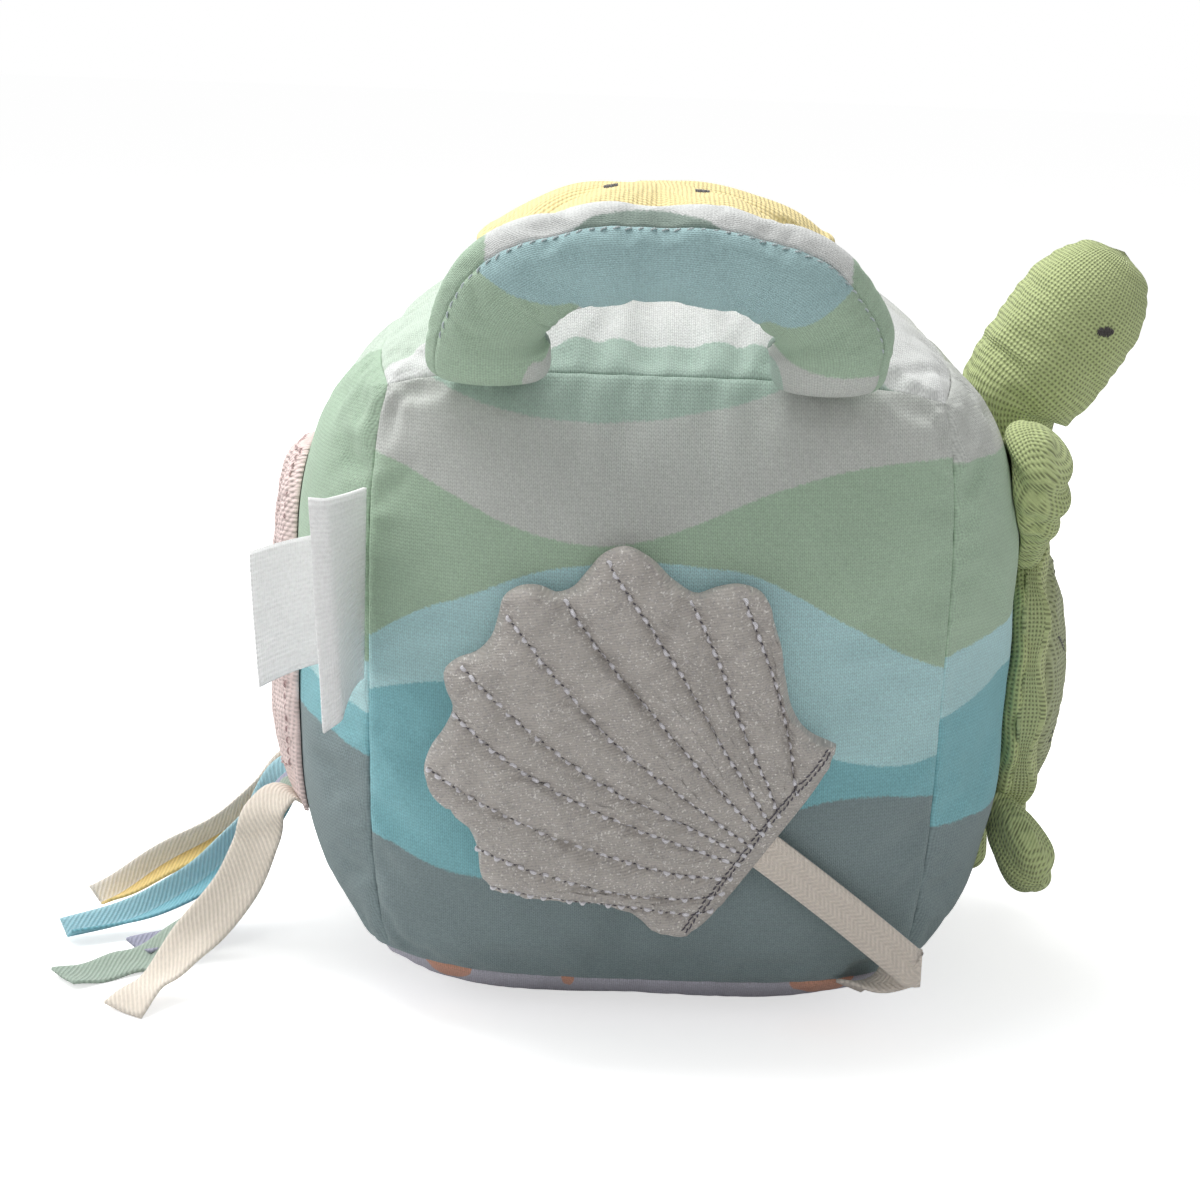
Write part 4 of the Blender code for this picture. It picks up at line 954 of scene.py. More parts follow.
    def build_wadding(self) -> None:
        """Two halves of wadding with a round pocket for the rattle, each one closed body."""
        material = Wadding("fibre_fill").make()
        steps = 40
        even = np.linspace(-1, 1, steps + 1)
        for name, sign, node in (("wadding_lower", -1, "filling_lower"),
                                 ("wadding_upper", 1, "filling_upper")):
            parts = []
            for side in (Side.FRONT, Side.BACK, Side.LEFT, Side.RIGHT):
                a, b = np.meshgrid(even, sign * np.linspace(0, 1, steps // 2 + 1))
                points = self.skin(side, a, b, self.wadding_depth)
                parts.append(Surface.grid(points, np.stack([a, b], -1) * self.half_width))
            cap = Side.TOP if sign > 0 else Side.BOTTOM
            a, b = np.meshgrid(even, even)
            points = self.skin(cap, a, b, self.wadding_depth)
            points[..., 2] = np.maximum(points[..., 2], self.wadding_depth)
            parts.append(Surface.grid(points, np.stack([a, b], -1) * self.half_width))
            edge = np.concatenate([
                self.skin(Side.FRONT, even, 0 * even, self.wadding_depth)[:-1],
                self.skin(Side.RIGHT, even, 0 * even, self.wadding_depth)[:-1],
                self.skin(Side.BACK, even[::-1], 0 * even, self.wadding_depth)[:-1],
                self.skin(Side.LEFT, even[::-1], 0 * even, self.wadding_depth),
            ])
            way = np.arctan2(edge[:, 1], edge[:, 0])
            rim = np.stack([np.cos(way), np.sin(way), 0 * way], -1) * self.pocket
            rim[:, 2] = self.centre
            share = np.linspace(0, 1, 14)[:, None, None]
            flat = edge[None] * (1 - share) + rim[None] * share
            parts.append(Surface.grid(flat, flat[..., :2]))
            bowl_turn = np.linspace(0, math.pi / 2, 12)[:, None]
            bowl = np.stack([
                self.pocket * np.cos(bowl_turn) * np.cos(way),
                self.pocket * np.cos(bowl_turn) * np.sin(way),
                self.centre + sign * self.pocket * np.sin(bowl_turn) + 0 * way,
            ], -1)
            parts.append(Surface.grid(bowl, bowl[..., :2]))
            whole = Surface.joined(parts)
            near = np.clip(np.abs(whole.points[:, 2] - self.centre) / (4 * MM), 0, 1)
            way_in = unit(whole.points - [0, 0, self.centre])
            bulk = np.clip(lumps(whole.points, 22 * MM, 2.0), -1, 0) * 0.9 * MM * near
            outer = np.linalg.norm(whole.points - [0, 0, self.centre], axis=1) > 30 * MM
            whole.points = whole.points + way_in * (bulk * outer)[:, None]
            gap = sign * 0.25 * MM
            whole.points[:, 2] += gap * (near < 0.02)
            obj = piece(name, whole, material, "block", (node,))

    def build(self) -> None:
        """Panels and wadding."""
        self.build_panels()
        self.build_wadding()


@dataclass
class Rattle:
    """Capsule and ball inside the wadding: their solids stay and get moulded plastic."""

    capsule_colour: str = "#E9E6DF"
    ball_colour: str = "#C9C4B8"

    def build(self) -> None:
        """Puts the finishes on the three nodes."""
        finishes = {
            "rattle_capsule_lower": MouldedPlastic("capsule_plastic", self.capsule_colour).make(),
            "rattle_ball": MouldedPlastic("bead_plastic", self.ball_colour, 0.38).make(),
        }
        finishes["rattle_capsule_upper"] = finishes["rattle_capsule_lower"]
        for node, material in finishes.items():
            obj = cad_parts[node]
            obj.data.materials.clear()
            obj.data.materials.append(material)
            LOG.info("%s: finish %s", node, material.name)


# The handle

HANDLE_FRONT_BANDS = (
    Band(WHITE_WITH_PAINTED_SHADE, ((-52, 120), (-33, 120), (-31, 144), (-29.5, 149.1), (-25.5, 152),
                      (-24.5, 155), (-22, 159), (18, 159), (20.8, 156.4), (24, 153.4),
                      (28.1, 151.2), (43.9, 150), (50, 150)), below=True),
    Band(SAGE, ((8, 120), (15, 140), (17.9, 150.2), (20.1, 153.2), (23.6, 148.2), (28, 120)),
         below=True),
    Band(DUSTY_BLUE, ((-50, 178), (-43, 172), (-39.4, 169.4), (-32.5, 165.2), (-25, 163.3),
                      (-18.4, 162.5), (-12, 150), (12, 150), (18.2, 160.7), (24, 160.3),
                      (29.5, 162), (36.4, 168.2), (42, 174), (46, 178))),
)
HANDLE_BACK_BANDS = (
    Band(DEEP_SAGE, ((-40, 150), (-28, 160), (-22, 177), (-18.6, 180.5), (-12, 182.6),
                     (-7.4, 183), (0, 182.6), (9.3, 179.6), (15, 172), (40, 150)), below=True),
    Band(MINT, ((120, 32), (150, 34), (165, 36), (190, 37)), turned=True),
    Band(MINT, ((120, -33), (150, -36), (165, -38), (190, -39)), turned=True, below=True),
)


@dataclass
class Handle:
    """Stuffed loop of two cloths, sewn into the top front seam and leant forward over its feet.

    The loop's middle line is a flattened arch x = -span·cos^0.85, z = rise·sin^0.85; its section
    is an ellipse with the two cloths' seams on the outer and the inner edge.
    """

    offset: float = -2.2 * MM
    span: float = 35.5 * MM
    rise: float = 21.6 * MM
    foot_width: float = 13.2 * MM
    top_width: float = 10.2 * MM
    depth: float = 9.0 * MM
    seam_draw: float = 0.25 * MM
    lean: float = 20.0
    power: float = 0.85
    foot_end: float = 89.0
    along_steps: int = 150
    around_steps: int = 56
    seam_steps: int = 5
    cloth: float = 1.0 * MM
    groove: float = 0.9 * MM
    pucker: float = 0.6 * MM
    stitch: float = 2.5 * MM
    thread: float = 0.22 * MM

    def place(self) -> tuple[np.ndarray, np.ndarray]:
        """Middle of the line through both feet, and the turn that leans the loop."""
        step = (self.depth - self.seam_draw) / math.sqrt(2)
        pivot = np.array([self.offset, -HALF_DEPTH - step, CENTRE_HEIGHT + HALF_HEIGHT + step])
        turn = np.array(Matrix.Rotation(math.radians(self.lean), 3, "X"))
        return pivot, turn

    def stations(self) -> tuple[np.ndarray, np.ndarray]:
        """Turn along the arch and the angle by which each foot closes."""
        foot = np.radians(self.foot_end) * (1 - np.linspace(0, 1, 12)[:-1])
        even = np.linspace(0, 1, self.along_steps + 1)
        arch = math.pi * (even - 0.06 * np.sin(2 * math.pi * even) / 2)
        turn = np.concatenate([0 * foot, arch, 0 * foot + math.pi])
        return turn, np.concatenate([foot, 0 * arch, foot[::-1]])

    def loop(self, inset: float) -> np.ndarray:
        """Sections along the loop as (stations, around, 3), angle 0 on the outer edge.

        Args:
            inset: how far inside the cloth the surface lies.

        Returns:
            The points in the frame.
        """
        turn, foot = self.stations()
        angle = np.linspace(0, 2 * math.pi, self.around_steps + 1)
        cos_t, sin_t = np.cos(turn), np.sin(turn)
        x = -self.span * np.sign(cos_t) * np.abs(cos_t) ** self.power
        z = self.rise * np.abs(sin_t) ** self.power - (self.depth - inset) * np.sin(foot)
        width = self.foot_width + (self.top_width - self.foot_width) * np.abs(sin_t) - inset
        out = unit(np.stack([-cos_t * self.rise, 0 * turn, sin_t * self.span], -1))
        across = (width * (1 - np.sin(foot) ** 4) ** 0.25)[:, None] * np.cos(angle)
        flat = (self.depth - inset) * np.cos(foot)[:, None] * np.sin(angle)
        run = np.linspace(0, 1, len(turn))[:, None] * 150 * MM
        shift = 2 * math.pi * self.seam_steps / self.around_steps
        sewn = np.where(np.cos(angle) > 0, angle + shift, angle)
        edge = np.abs(np.cos(sewn)) ** 12
        inner = np.clip(-np.cos(angle), 0, 1)
        pleats = (0.5 + 0.5 * wander(run, 7 * MM, 2.0)) * (0.35 + 0.65 * inner)
        pull = self.pucker * pleats * np.exp(-np.abs(np.sin(sewn)) / 0.35)
        tight = np.abs(sin_t)[:, None] ** 0.3
        size = 1 - (pull * tight + 0.35 * MM * wander(run, 23 * MM, 1.0)) / self.depth
        size = size - 0.5 * (self.groove / width)[:, None] * edge
        local = np.stack([x, 0 * x, z], -1)[:, None, :] + out[:, None, :] * (across * size)[..., None]
        local = local + np.array([0, 1, 0]) * (flat * size)[..., None]
        pivot, rotation = self.place()
        return local @ rotation.T + pivot

    def build(self) -> None:
        """Front cloth, back cloth, wadding and the sewn thread along the outer seam."""
        points = self.loop(0.0)
        rows, columns = points.shape[:2]
        half = columns // 2
        along = np.cumsum(np.linalg.norm(np.gradient(points[:, 0], axis=0), axis=1))
        around = np.linspace(0, 2 * math.pi, columns) * self.depth * 1.1
        uv = np.stack(np.broadcast_arrays(around[None, :], along[:, None]), -1)
        whole = Surface.grid(points, uv)
        pins = np.zeros((rows, columns), bool)
        seam = columns - 1 - self.seam_steps
        pins[:12], pins[-12:] = True, True
        pins[:, [half, seam]] = True
        whole.points = blown(whole, pins.reshape(-1), growth=0.03, cap=1.2 * MM)
        points = whole.points.reshape(rows, columns, 3)
        over = np.concatenate([np.arange(seam, columns - 1), np.arange(half + 1)])
        uv_over = uv[:, over].copy()
        uv_over[:, :self.seam_steps, 0] -= around[-1]
        for name, p, uv_part, knit, slot, node in (
            ("handle_front_cloth", points[:, half:seam + 1], uv[:, half:seam + 1], PrintedKnit(
                "handle_front_jersey", MINT, HANDLE_FRONT_BANDS), "handle_front_knit",
             "handle_front"),
            ("handle_back_cloth", points[:, over], uv_over, PrintedKnit(
                "handle_back_jersey", WHITE, HANDLE_BACK_BANDS), "handle_back_knit",
             "handle_back"),
        ):
            surface = Surface.grid(p, uv_part, marks=knit.marks(p[..., 0], p[..., 2]))
            way = np.cross(np.gradient(p, axis=1), np.gradient(p, axis=0))
            if (way * (p - points.mean(axis=1, keepdims=True))).sum() < 0:
                surface.quads = surface.quads[:, ::-1]
            obj = piece(name, surface, knit.make(), "handle", (node,),
                        thickness=self.cloth, weld=False)
        core = self.loop(self.cloth + 0.4 * MM)
        ends = [np.broadcast_to(core[k].mean(axis=0), core[:1].shape) for k in (0, -1)]
        core = np.concatenate([ends[0], core, ends[1]])
        flat = np.zeros(core.shape[:2] + (2,))
        wadding = piece("handle_wadding", Surface.grid(core, flat), Wadding("handle_fill").make(),
                        "handle", ("handle_filling",))
        self.build_stitches(points)

    def build_stitches(self, points: np.ndarray) -> None:
        """Small stitches along the outer seam, seen from the front."""
        seam = points[14:-14, -1 - self.seam_steps]
        front = points[14:-14, -3 - self.seam_steps]
        places, along = walked(seam * 0.75 + front * 0.25, self.stitch)
        centre = points[14:-14].mean(axis=1)
        nearest = np.argmin(np.linalg.norm(
            places[:, None] - centre[None], axis=2), axis=1)
        out = unit(places - centre[nearest])
        surface = threads(places, along, out, self.stitch * 0.8, self.thread, turn=0.35, seed=3)
        piece("handle_seam_thread", surface, Thread("handle_thread", "#C9D6D8").make(), "handle")


# The starfish

def rosette(radius: np.ndarray, share: np.ndarray
            ) -> tuple[np.ndarray, np.ndarray, np.ndarray]:
    """Plan places over a round outline: (rings, sectors + 1) arrays a and b, and their angle."""
    angle = np.linspace(0, 2 * math.pi, len(radius))
    return (share[:, None] * radius * np.cos(angle), share[:, None] * radius * np.sin(angle),
            angle)


@dataclass
class Starfish:
    """Five blunt arms of gauze on the top panel, padded high, with a flatter cloth below."""

    middle: float = -2.4 * MM
    arm: float = 44.5 * MM
    notch: float = 25.5 * MM
    arms: int = 5
    swell: float = 10.8 * MM
    edge: float = 1.0 * MM
    base: float = 3.0 * MM
    gap: float = 0.6 * MM
    sectors: int = 150
    rings: int = 26
    eye_places: tuple = ((-13.5, -11.0), (7.4, -11.0))
    eye_length: float = 3.3 * MM
    eye_width: float = 4.4 * MM

    def outline(self) -> np.ndarray:
        """Plan radius by angle: notch + (arm - notch)·((1 + cos 5(angle - 90°)) / 2)^0.9."""
        angle = np.linspace(0, 2 * math.pi, self.sectors + 1)
        lobe = (1 + np.cos(self.arms * (angle - math.pi / 2))) / 2
        return self.notch + (self.arm - self.notch) * lobe ** 0.9

    def build(self, block: Block) -> None:
        """Upper cloth, lower cloth and the two sewn eyes."""
        share = np.sin(math.pi / 2 * np.linspace(0, 1, self.rings + 1))
        a, b, angle = rosette(self.outline(), share)
        a = a + self.middle
        seat = block.on(Side.TOP, a, b)[..., 2]
        s = share[:, None] + 0 * a
        dome = self.edge + self.swell * np.maximum(0, 1 - s ** 2) ** 0.5
        ripple = 0.35 * MM * wander(angle * 30 * MM, 6 * MM, 1.0) * s ** 3 * (1 - s) * 6
        soft = 0.5 * MM * lumps(np.stack([a, b, 0 * a], -1), 30 * MM, 0.4) * (1 - s ** 4)
        base = seat + 2 * self.gap + self.base
        top = np.stack([a, b, base + dome + ripple + soft], -1)
        roll = 1 - 0.05 * (1 - np.minimum(1, (1 - s) / 0.06)) ** 2
        bottom = np.stack([self.middle + (a - self.middle) * roll, b * roll, base + 0 * a], -1)
        uv = np.stack([a, b], -1)
        side = wall(top[-1], bottom[-1])
        surface = Surface.joined([Surface.grid(top, uv), Surface.grid(bottom, uv), side])
        pins = np.ones(len(surface.points), bool)
        pins[:s.size] = (s > 0.995).reshape(-1)
        surface.points = blown(surface, pins, 0.04, 1.5 * MM, Rest.GAUZE)
        gauze = Gauze("starfish_gauze", "#FCE9AC", hole=0.86, crinkle=0.3).make()
        upper = piece("starfish_upper_cloth", surface, gauze, "block",
                      ("starfish_upper",), levels=1)
        under = np.stack([a, b, seat + self.gap + 0 * a], -1)
        over = np.stack([a, b, seat + self.gap + self.base * (0.55 + 0.45 * (1 - s ** 8)) + 0 * a],
                        -1)
        side = wall(over[-1], under[-1])
        lower = piece("starfish_lower_cloth",
                      Surface.joined([Surface.grid(over, uv), Surface.grid(under, uv), side]),
                      gauze, "block", ("starfish_lower",))
        self.build_eyes(surface.tree())

    def build_eyes(self, tree: BVHTree) -> None:
        """Two small ovals of satin stitches, side by side on the padded top."""
        parts = []
        for x, y in self.eye_places:
            parts.append(satin_oval(tree, np.array([x * MM, y * MM, 0.17]), UP,
                                    np.array([1.0, 0, 0]), self.eye_length, self.eye_width))
        piece("starfish_eyes", Surface.joined(parts), Thread("eye_thread", "#4A4442").make(),
              "block")


def satin_oval(tree: BVHTree, place: np.ndarray, out: np.ndarray, along: np.ndarray,
               length: float, width: float, thread: float = 0.22 * MM) -> Surface:
    """An embroidered oval: parallel stitches that are as long as the oval is wide there.

    Args:
        tree: the cloth.
        place: a point over the oval's middle.
        out: the direction out of the cloth.
        along: the direction of the oval's length.
        length: its length.
        width: its width.
        thread: the thread's radius.

    Returns:
        The stitches, laid on the cloth.
    """
    across = np.cross(out, along)
    pitch = thread * 1.7
    count = max(3, int(length / pitch))
    parts = []
    for k in range(count):
        at = (k + 0.5) / count * 2 - 1
        reach = width * math.sqrt(max(0.0, 1 - at * at)) + thread
        middle = (place + along * (at * length / 2))[None]
        hit, normal = laid(tree, middle, out)
        parts.append(threads(hit + normal * thread * 0.4, across[None], normal, reach, thread,
                             seed=k))
    return Surface.joined(parts)


# The jellyfish and its ribbons

@dataclass
class Jellyfish:
    """Padded bell of pink cloth on the left panel, straight along its hem and round above."""

    hem: float = 40 * MM
    height: float = 82 * MM
    half_width: float = 38 * MM
    swell: float = 4.4 * MM
    edge: float = 1.6 * MM
    top_deg: float = 80.0
    rows: int = 72
    columns: int = 64
    ribs: int = 7
    stitch: float = 2.6 * MM
    stitch_length: float = 2.1 * MM
    thread: float = 0.24 * MM

    def build(self, block: Block) -> None:
        """The bell: half width·cos^0.75 over its height, with shallow sewn ribs fanning upwards."""
        turn = np.radians(self.top_deg) * np.linspace(0, 1, self.rows + 1)[:, None]
        across = np.linspace(-1, 1, self.columns + 1)[None, :]
        across = 0.6 * across + 0.4 * np.sin(math.pi / 2 * across)
        up = self.hem + self.height * np.sin(turn) + 0 * across
        y = self.half_width * np.cos(turn) ** 0.75 * across
        seat = block.on(Side.LEFT, y, up)
        rise = 1 - np.abs(2 * np.linspace(0, 1, self.rows + 1)[:, None] - 1) ** 8
        round_off = 1 - np.abs(across) ** 8
        rib = np.abs(np.sin(math.pi * self.ribs * (across + 1) / 2)) ** 0.5
        swell = self.edge * 0.6 + (self.swell + 0.6 * MM) * round_off * rise * (0.75 + 0.25 * rib)
        out = seat + OUT_LEFT * (0.4 * MM + swell)[..., None]
        back = seat + OUT_LEFT * 0.4 * MM
        uv = np.stack([y, up], -1)
        border = [np.stack([out[k], back[k]]) for k in (0, -1)]
        border += [np.stack([out[:, k], back[:, k]]) for k in (0, -1)]
        parts = [Surface.grid(out, uv), Surface.grid(back, uv)]
        parts += [Surface.grid(b, b[..., 1:]) for b in border]
        whole = Surface.joined(parts)
        pins = np.ones(len(whole.points), bool)
        inner = np.zeros(out.shape[:2], bool)
        inner[2:-2, 2:-2] = (rib > 0.3)[0][None, 2:-2]
        pins[:inner.size] = ~inner.reshape(-1)
        whole.points = blown(whole, pins, 0.03, 0.8 * MM, Rest.GAUZE)
        bell = piece("jellyfish_cloth", whole, Gauze("jellyfish_gauze", "#F0DBD7", hole=0.8).make(),
                     "block", ("jellyfish_bell",))
        self.build_stitches(out)

    def build_stitches(self, out: np.ndarray) -> None:
        """A line of stitches round the bell's edge and a row over its hem."""
        line = np.concatenate([out[6:-3, 3], out[-4, 4:-4], out[6:-3, -4][::-1], out[6, 4:-4][::-1]])
        places, along = walked(line, self.stitch)
        normal = np.broadcast_to(OUT_LEFT, places.shape)
        surface = threads(places + OUT_LEFT * 0.1 * MM, along, normal, self.stitch_length,
                          self.thread, seed=5)
        piece("jellyfish_thread", surface, Thread("pink_thread", "#C9A9A8").make(), "block")


@dataclass(frozen=True)
class RibbonShape:
    """One ribbon: its finish, the line it takes and how it is folded and turned.

    line holds places in millimetres past its root, crease the angle in degrees by which its two
    long halves fold together, and twist how far it turns about its line, by share of its run.
    """

    name: str
    slot: str
    colour: str
    line: tuple
    crease: float = 4.0
    twist: tuple = ((0, 0), (1000, 0))
    lining: str = ""


RIBBONS = (
    RibbonShape("ribbon_cream", "tape_cream", "#F6EADB",
                ((-84.5, -32.5, 42.6), (-88, -35.5, 39.5), (-90, -38.5, 32), (-93.3, -42, 24),
                 (-100.6, -47.5, 14.6), (-108.5, -55, 6), (-116, -66, 1)), 5,
                ((0, 0), (250, 14), (430, 36), (600, 38), (740, 8), (860, -14), (1000, 6))),
    RibbonShape("ribbon_green", "tape_green", "#A9BAAC",
                ((-84, -17.5, 40), (-90, -20, 30), (-98.2, -24, 17.5), (-107, -29, 7),
                 (-116, -35, 1.5), (-133, -49, 1)), 4,
                ((0, 0), (400, -12), (700, 6), (1000, 0))),
    RibbonShape("ribbon_lilac", "tape_lilac", "#A9AABE",
                ((-86, -2, 37), (-90, -5, 28), (-94.5, -9, 17), (-101, -14, 8),
                 (-109, -21, 2.5), (-119, -30, 1)), 12,
                ((0, 0), (350, -20), (650, -8), (1000, 0))),
    RibbonShape("ribbon_blue", "tape_blue", "#84BFCD",
                ((-85.7, 13, 36.2), (-96.2, 4, 20.9), (-104.7, -2, 12.8), (-118.6, -11, 4.2),
                 (-137.5, -22, 1.5)), 34,
                ((0, 0), (300, 40), (600, 34), (850, 10), (1000, 0)), "#ACD6E1"),
    RibbonShape("ribbon_yellow", "tape_yellow", "#F0D28A",
                ((-87, 27, 33), (-103, 18, 18.5), (-121, 7.5, 8.5), (-133, -3, 2.5)), 40,
                ((0, 0), (250, 52), (600, 56), (850, 30), (1000, 10)), "#FDF4E6"),
)


def strip(line: np.ndarray, side: np.ndarray, width: float, crease: np.ndarray | float = 0.0,
          across: int = 12) -> tuple[np.ndarray, np.ndarray]:
    """A tape along a line as a grid of points, and its UV.

    Args:
        line: (steps, 3) middle line.
        side: (steps, 3) direction of its width.
        width: its width.
        crease: angle in radians by which the two halves fold up.
        across: cells across.

    Returns:
        Points and UV; a point at share w of the width lies at side·w·cos + normal·|w|·sin.
    """
    ahead = unit(np.gradient(line, axis=0))
    side = unit(side - ahead * (side * ahead).sum(-1, keepdims=True))
    normal = np.cross(side, ahead)
    w = np.linspace(-0.5, 0.5, across + 1) * width
    fold = np.broadcast_to(np.asarray(crease, float), (len(line),))[:, None]
    flat = w * np.cos(fold)
    lift = np.sqrt(w ** 2 + (0.4 * MM) ** 2) * np.sin(fold)
    points = line[:, None] + side[:, None] * flat[..., None] + normal[:, None] * lift[..., None]
    run = np.concatenate([[0], np.cumsum(np.linalg.norm(np.diff(line, axis=0), axis=1))])
    return points, np.stack(np.broadcast_arrays(w[None, :], run[:, None]), -1)


@dataclass
class Ribbons:
    """Five twill tapes that leave the bell's hem, turn forward, fall and run out on the ground."""

    width: float = 11 * MM
    thickness: float = 0.7 * MM
    pitch: float = 15 * MM
    rest: float = 0.8 * MM
    steps: int = 70

    def build(self, block: Block, bell: Jellyfish) -> None:
        """One piece each, on its own body."""
        for index, shape in enumerate(RIBBONS):
            y = (index - 2) * self.pitch
            seat = block.skin(Side.LEFT, np.array(y / block.half_depth), np.array(
                (bell.hem - block.centre) / block.half_height))
            root = seat + OUT_LEFT * (0.4 + 0.8) * MM - UP * 0.8 * MM
            root[1] = y
            knots = np.vstack([root / MM, shape.line])
            legs = np.linalg.norm(np.diff(knots, axis=0), axis=1)
            run = np.concatenate([[0.0], np.cumsum(legs)])
            share = np.linspace(0, 1, self.steps + 1)
            line = np.stack([flow(tuple(zip(run, knots[:, k])), share * run[-1] * MM)
                             for k in range(3)], -1)
            line[:, 2] = np.maximum(line[:, 2], self.rest)
            ease = np.clip(share / 0.12, 0, 1)
            twist = flow(shape.twist, share) / MM * ease
            ahead = unit(np.gradient(line, axis=0))
            side = unit(np.cross(ahead, UP))
            normal = np.cross(side, ahead)
            twist = np.radians(twist)[:, None]
            side = side * np.cos(twist) + normal * np.sin(twist)
            crease = math.radians(shape.crease) * np.clip((share - 0.05) / 0.25, 0, 1)
            points, uv = strip(line, side, self.width, crease)
            flutter = 0.5 * MM * wander(share * 60 * MM, 17 * MM, index + 1.0) * share
            points[..., 2] = np.maximum(points[..., 2] + flutter[:, None], 0.45 * MM)
            obj = piece(f"{shape.name}_tape", Surface.grid(points, uv), Tape(
                shape.name + "_twill", shape.colour, lining=shape.lining).make(),
                shape.name,
                (shape.name,), thickness=self.thickness, weld=False, offset=0.0)


# The turtle

TURTLE_GREEN, TURTLE_RIM, TURTLE_SHELL = "#C2CF94", "#C6D09A", "#B9C09A"


@dataclass
class Limb:
    """A stuffed limb: a round root that swells to a flat paddle and closes round at its tip."""

    length: float
    half_width: float
    half_thick: float
    root_radius: float = 4.0 * MM
    swell: tuple = ((0, 0), (140, 340), (300, 680), (500, 950), (680, 1000), (840, 1000),
                    (1000, 1000))
    steps: int = 44
    around: int = 48

    def surface(self, root: np.ndarray, along: np.ndarray, flat: np.ndarray) -> Surface:
        """The limb's closed skin, with a groove where its two cloths are sewn.

        Args:
            root: middle of its root.
            along: its direction.
            flat: direction of its thin side.

        Returns:
            The surface: at share s the half width runs from root to full by the swell curve, and
            past 0.6 it closes as (1 - ((s - 0.6) / 0.4)²)^½.
        """
        along = unit(along)
        side = unit(np.cross(along, flat))
        thin = np.cross(side, along)
        head = np.radians(np.linspace(90, 0, 10))[:-1]
        share = np.linspace(0, 1, self.steps + 1) ** 0.9
        grow = flow(self.swell, share)
        close = np.sqrt(np.maximum(0, 1 - np.clip((share - 0.6) / 0.4, 0, 1) ** 2.2))
        width = (self.root_radius + (self.half_width - self.root_radius) * grow) * close
        thick = (self.root_radius + (self.half_thick - self.root_radius) * grow) * close
        middle = np.concatenate([-self.root_radius * np.sin(head), share * self.length])
        width = np.concatenate([self.root_radius * np.cos(head), width])
        thick = np.concatenate([self.root_radius * np.cos(head), thick])
        angle = np.linspace(0, 2 * math.pi, self.around + 1)
        groove = 1 - 0.05 * np.exp(-(np.sin(angle) / 0.16) ** 2)
        run = middle[:, None]
        pleat = 1 - 0.035 * (0.5 + 0.5 * wander(run, 4.5 * MM, 1.0)) * np.exp(
            -np.abs(np.sin(angle)) / 0.5)
        a = width[:, None] * np.cos(angle) * groove * pleat
        b = thick[:, None] * np.sin(angle) * groove
        points = root + along * run[..., None] + side * a[..., None] + thin * b[..., None]
        return Surface.grid(points, np.stack([a, run + b], -1))


@dataclass(frozen=True)
class Flippers:
    """A near and a far flipper: their place round the belly, turn in its plane and lift off it."""

    kind: str
    limb: Limb
    place: float
    turn: float
    lift: float


FLIPPERS = (
    Flippers("front", Limb(34.0 * MM, 12.0 * MM, 8.2 * MM), 40.0, -24.0, -4.0),
    Flippers("rear", Limb(22.5 * MM, 9.5 * MM, 6.0 * MM), 138.0, 6.0, 24.0),
)


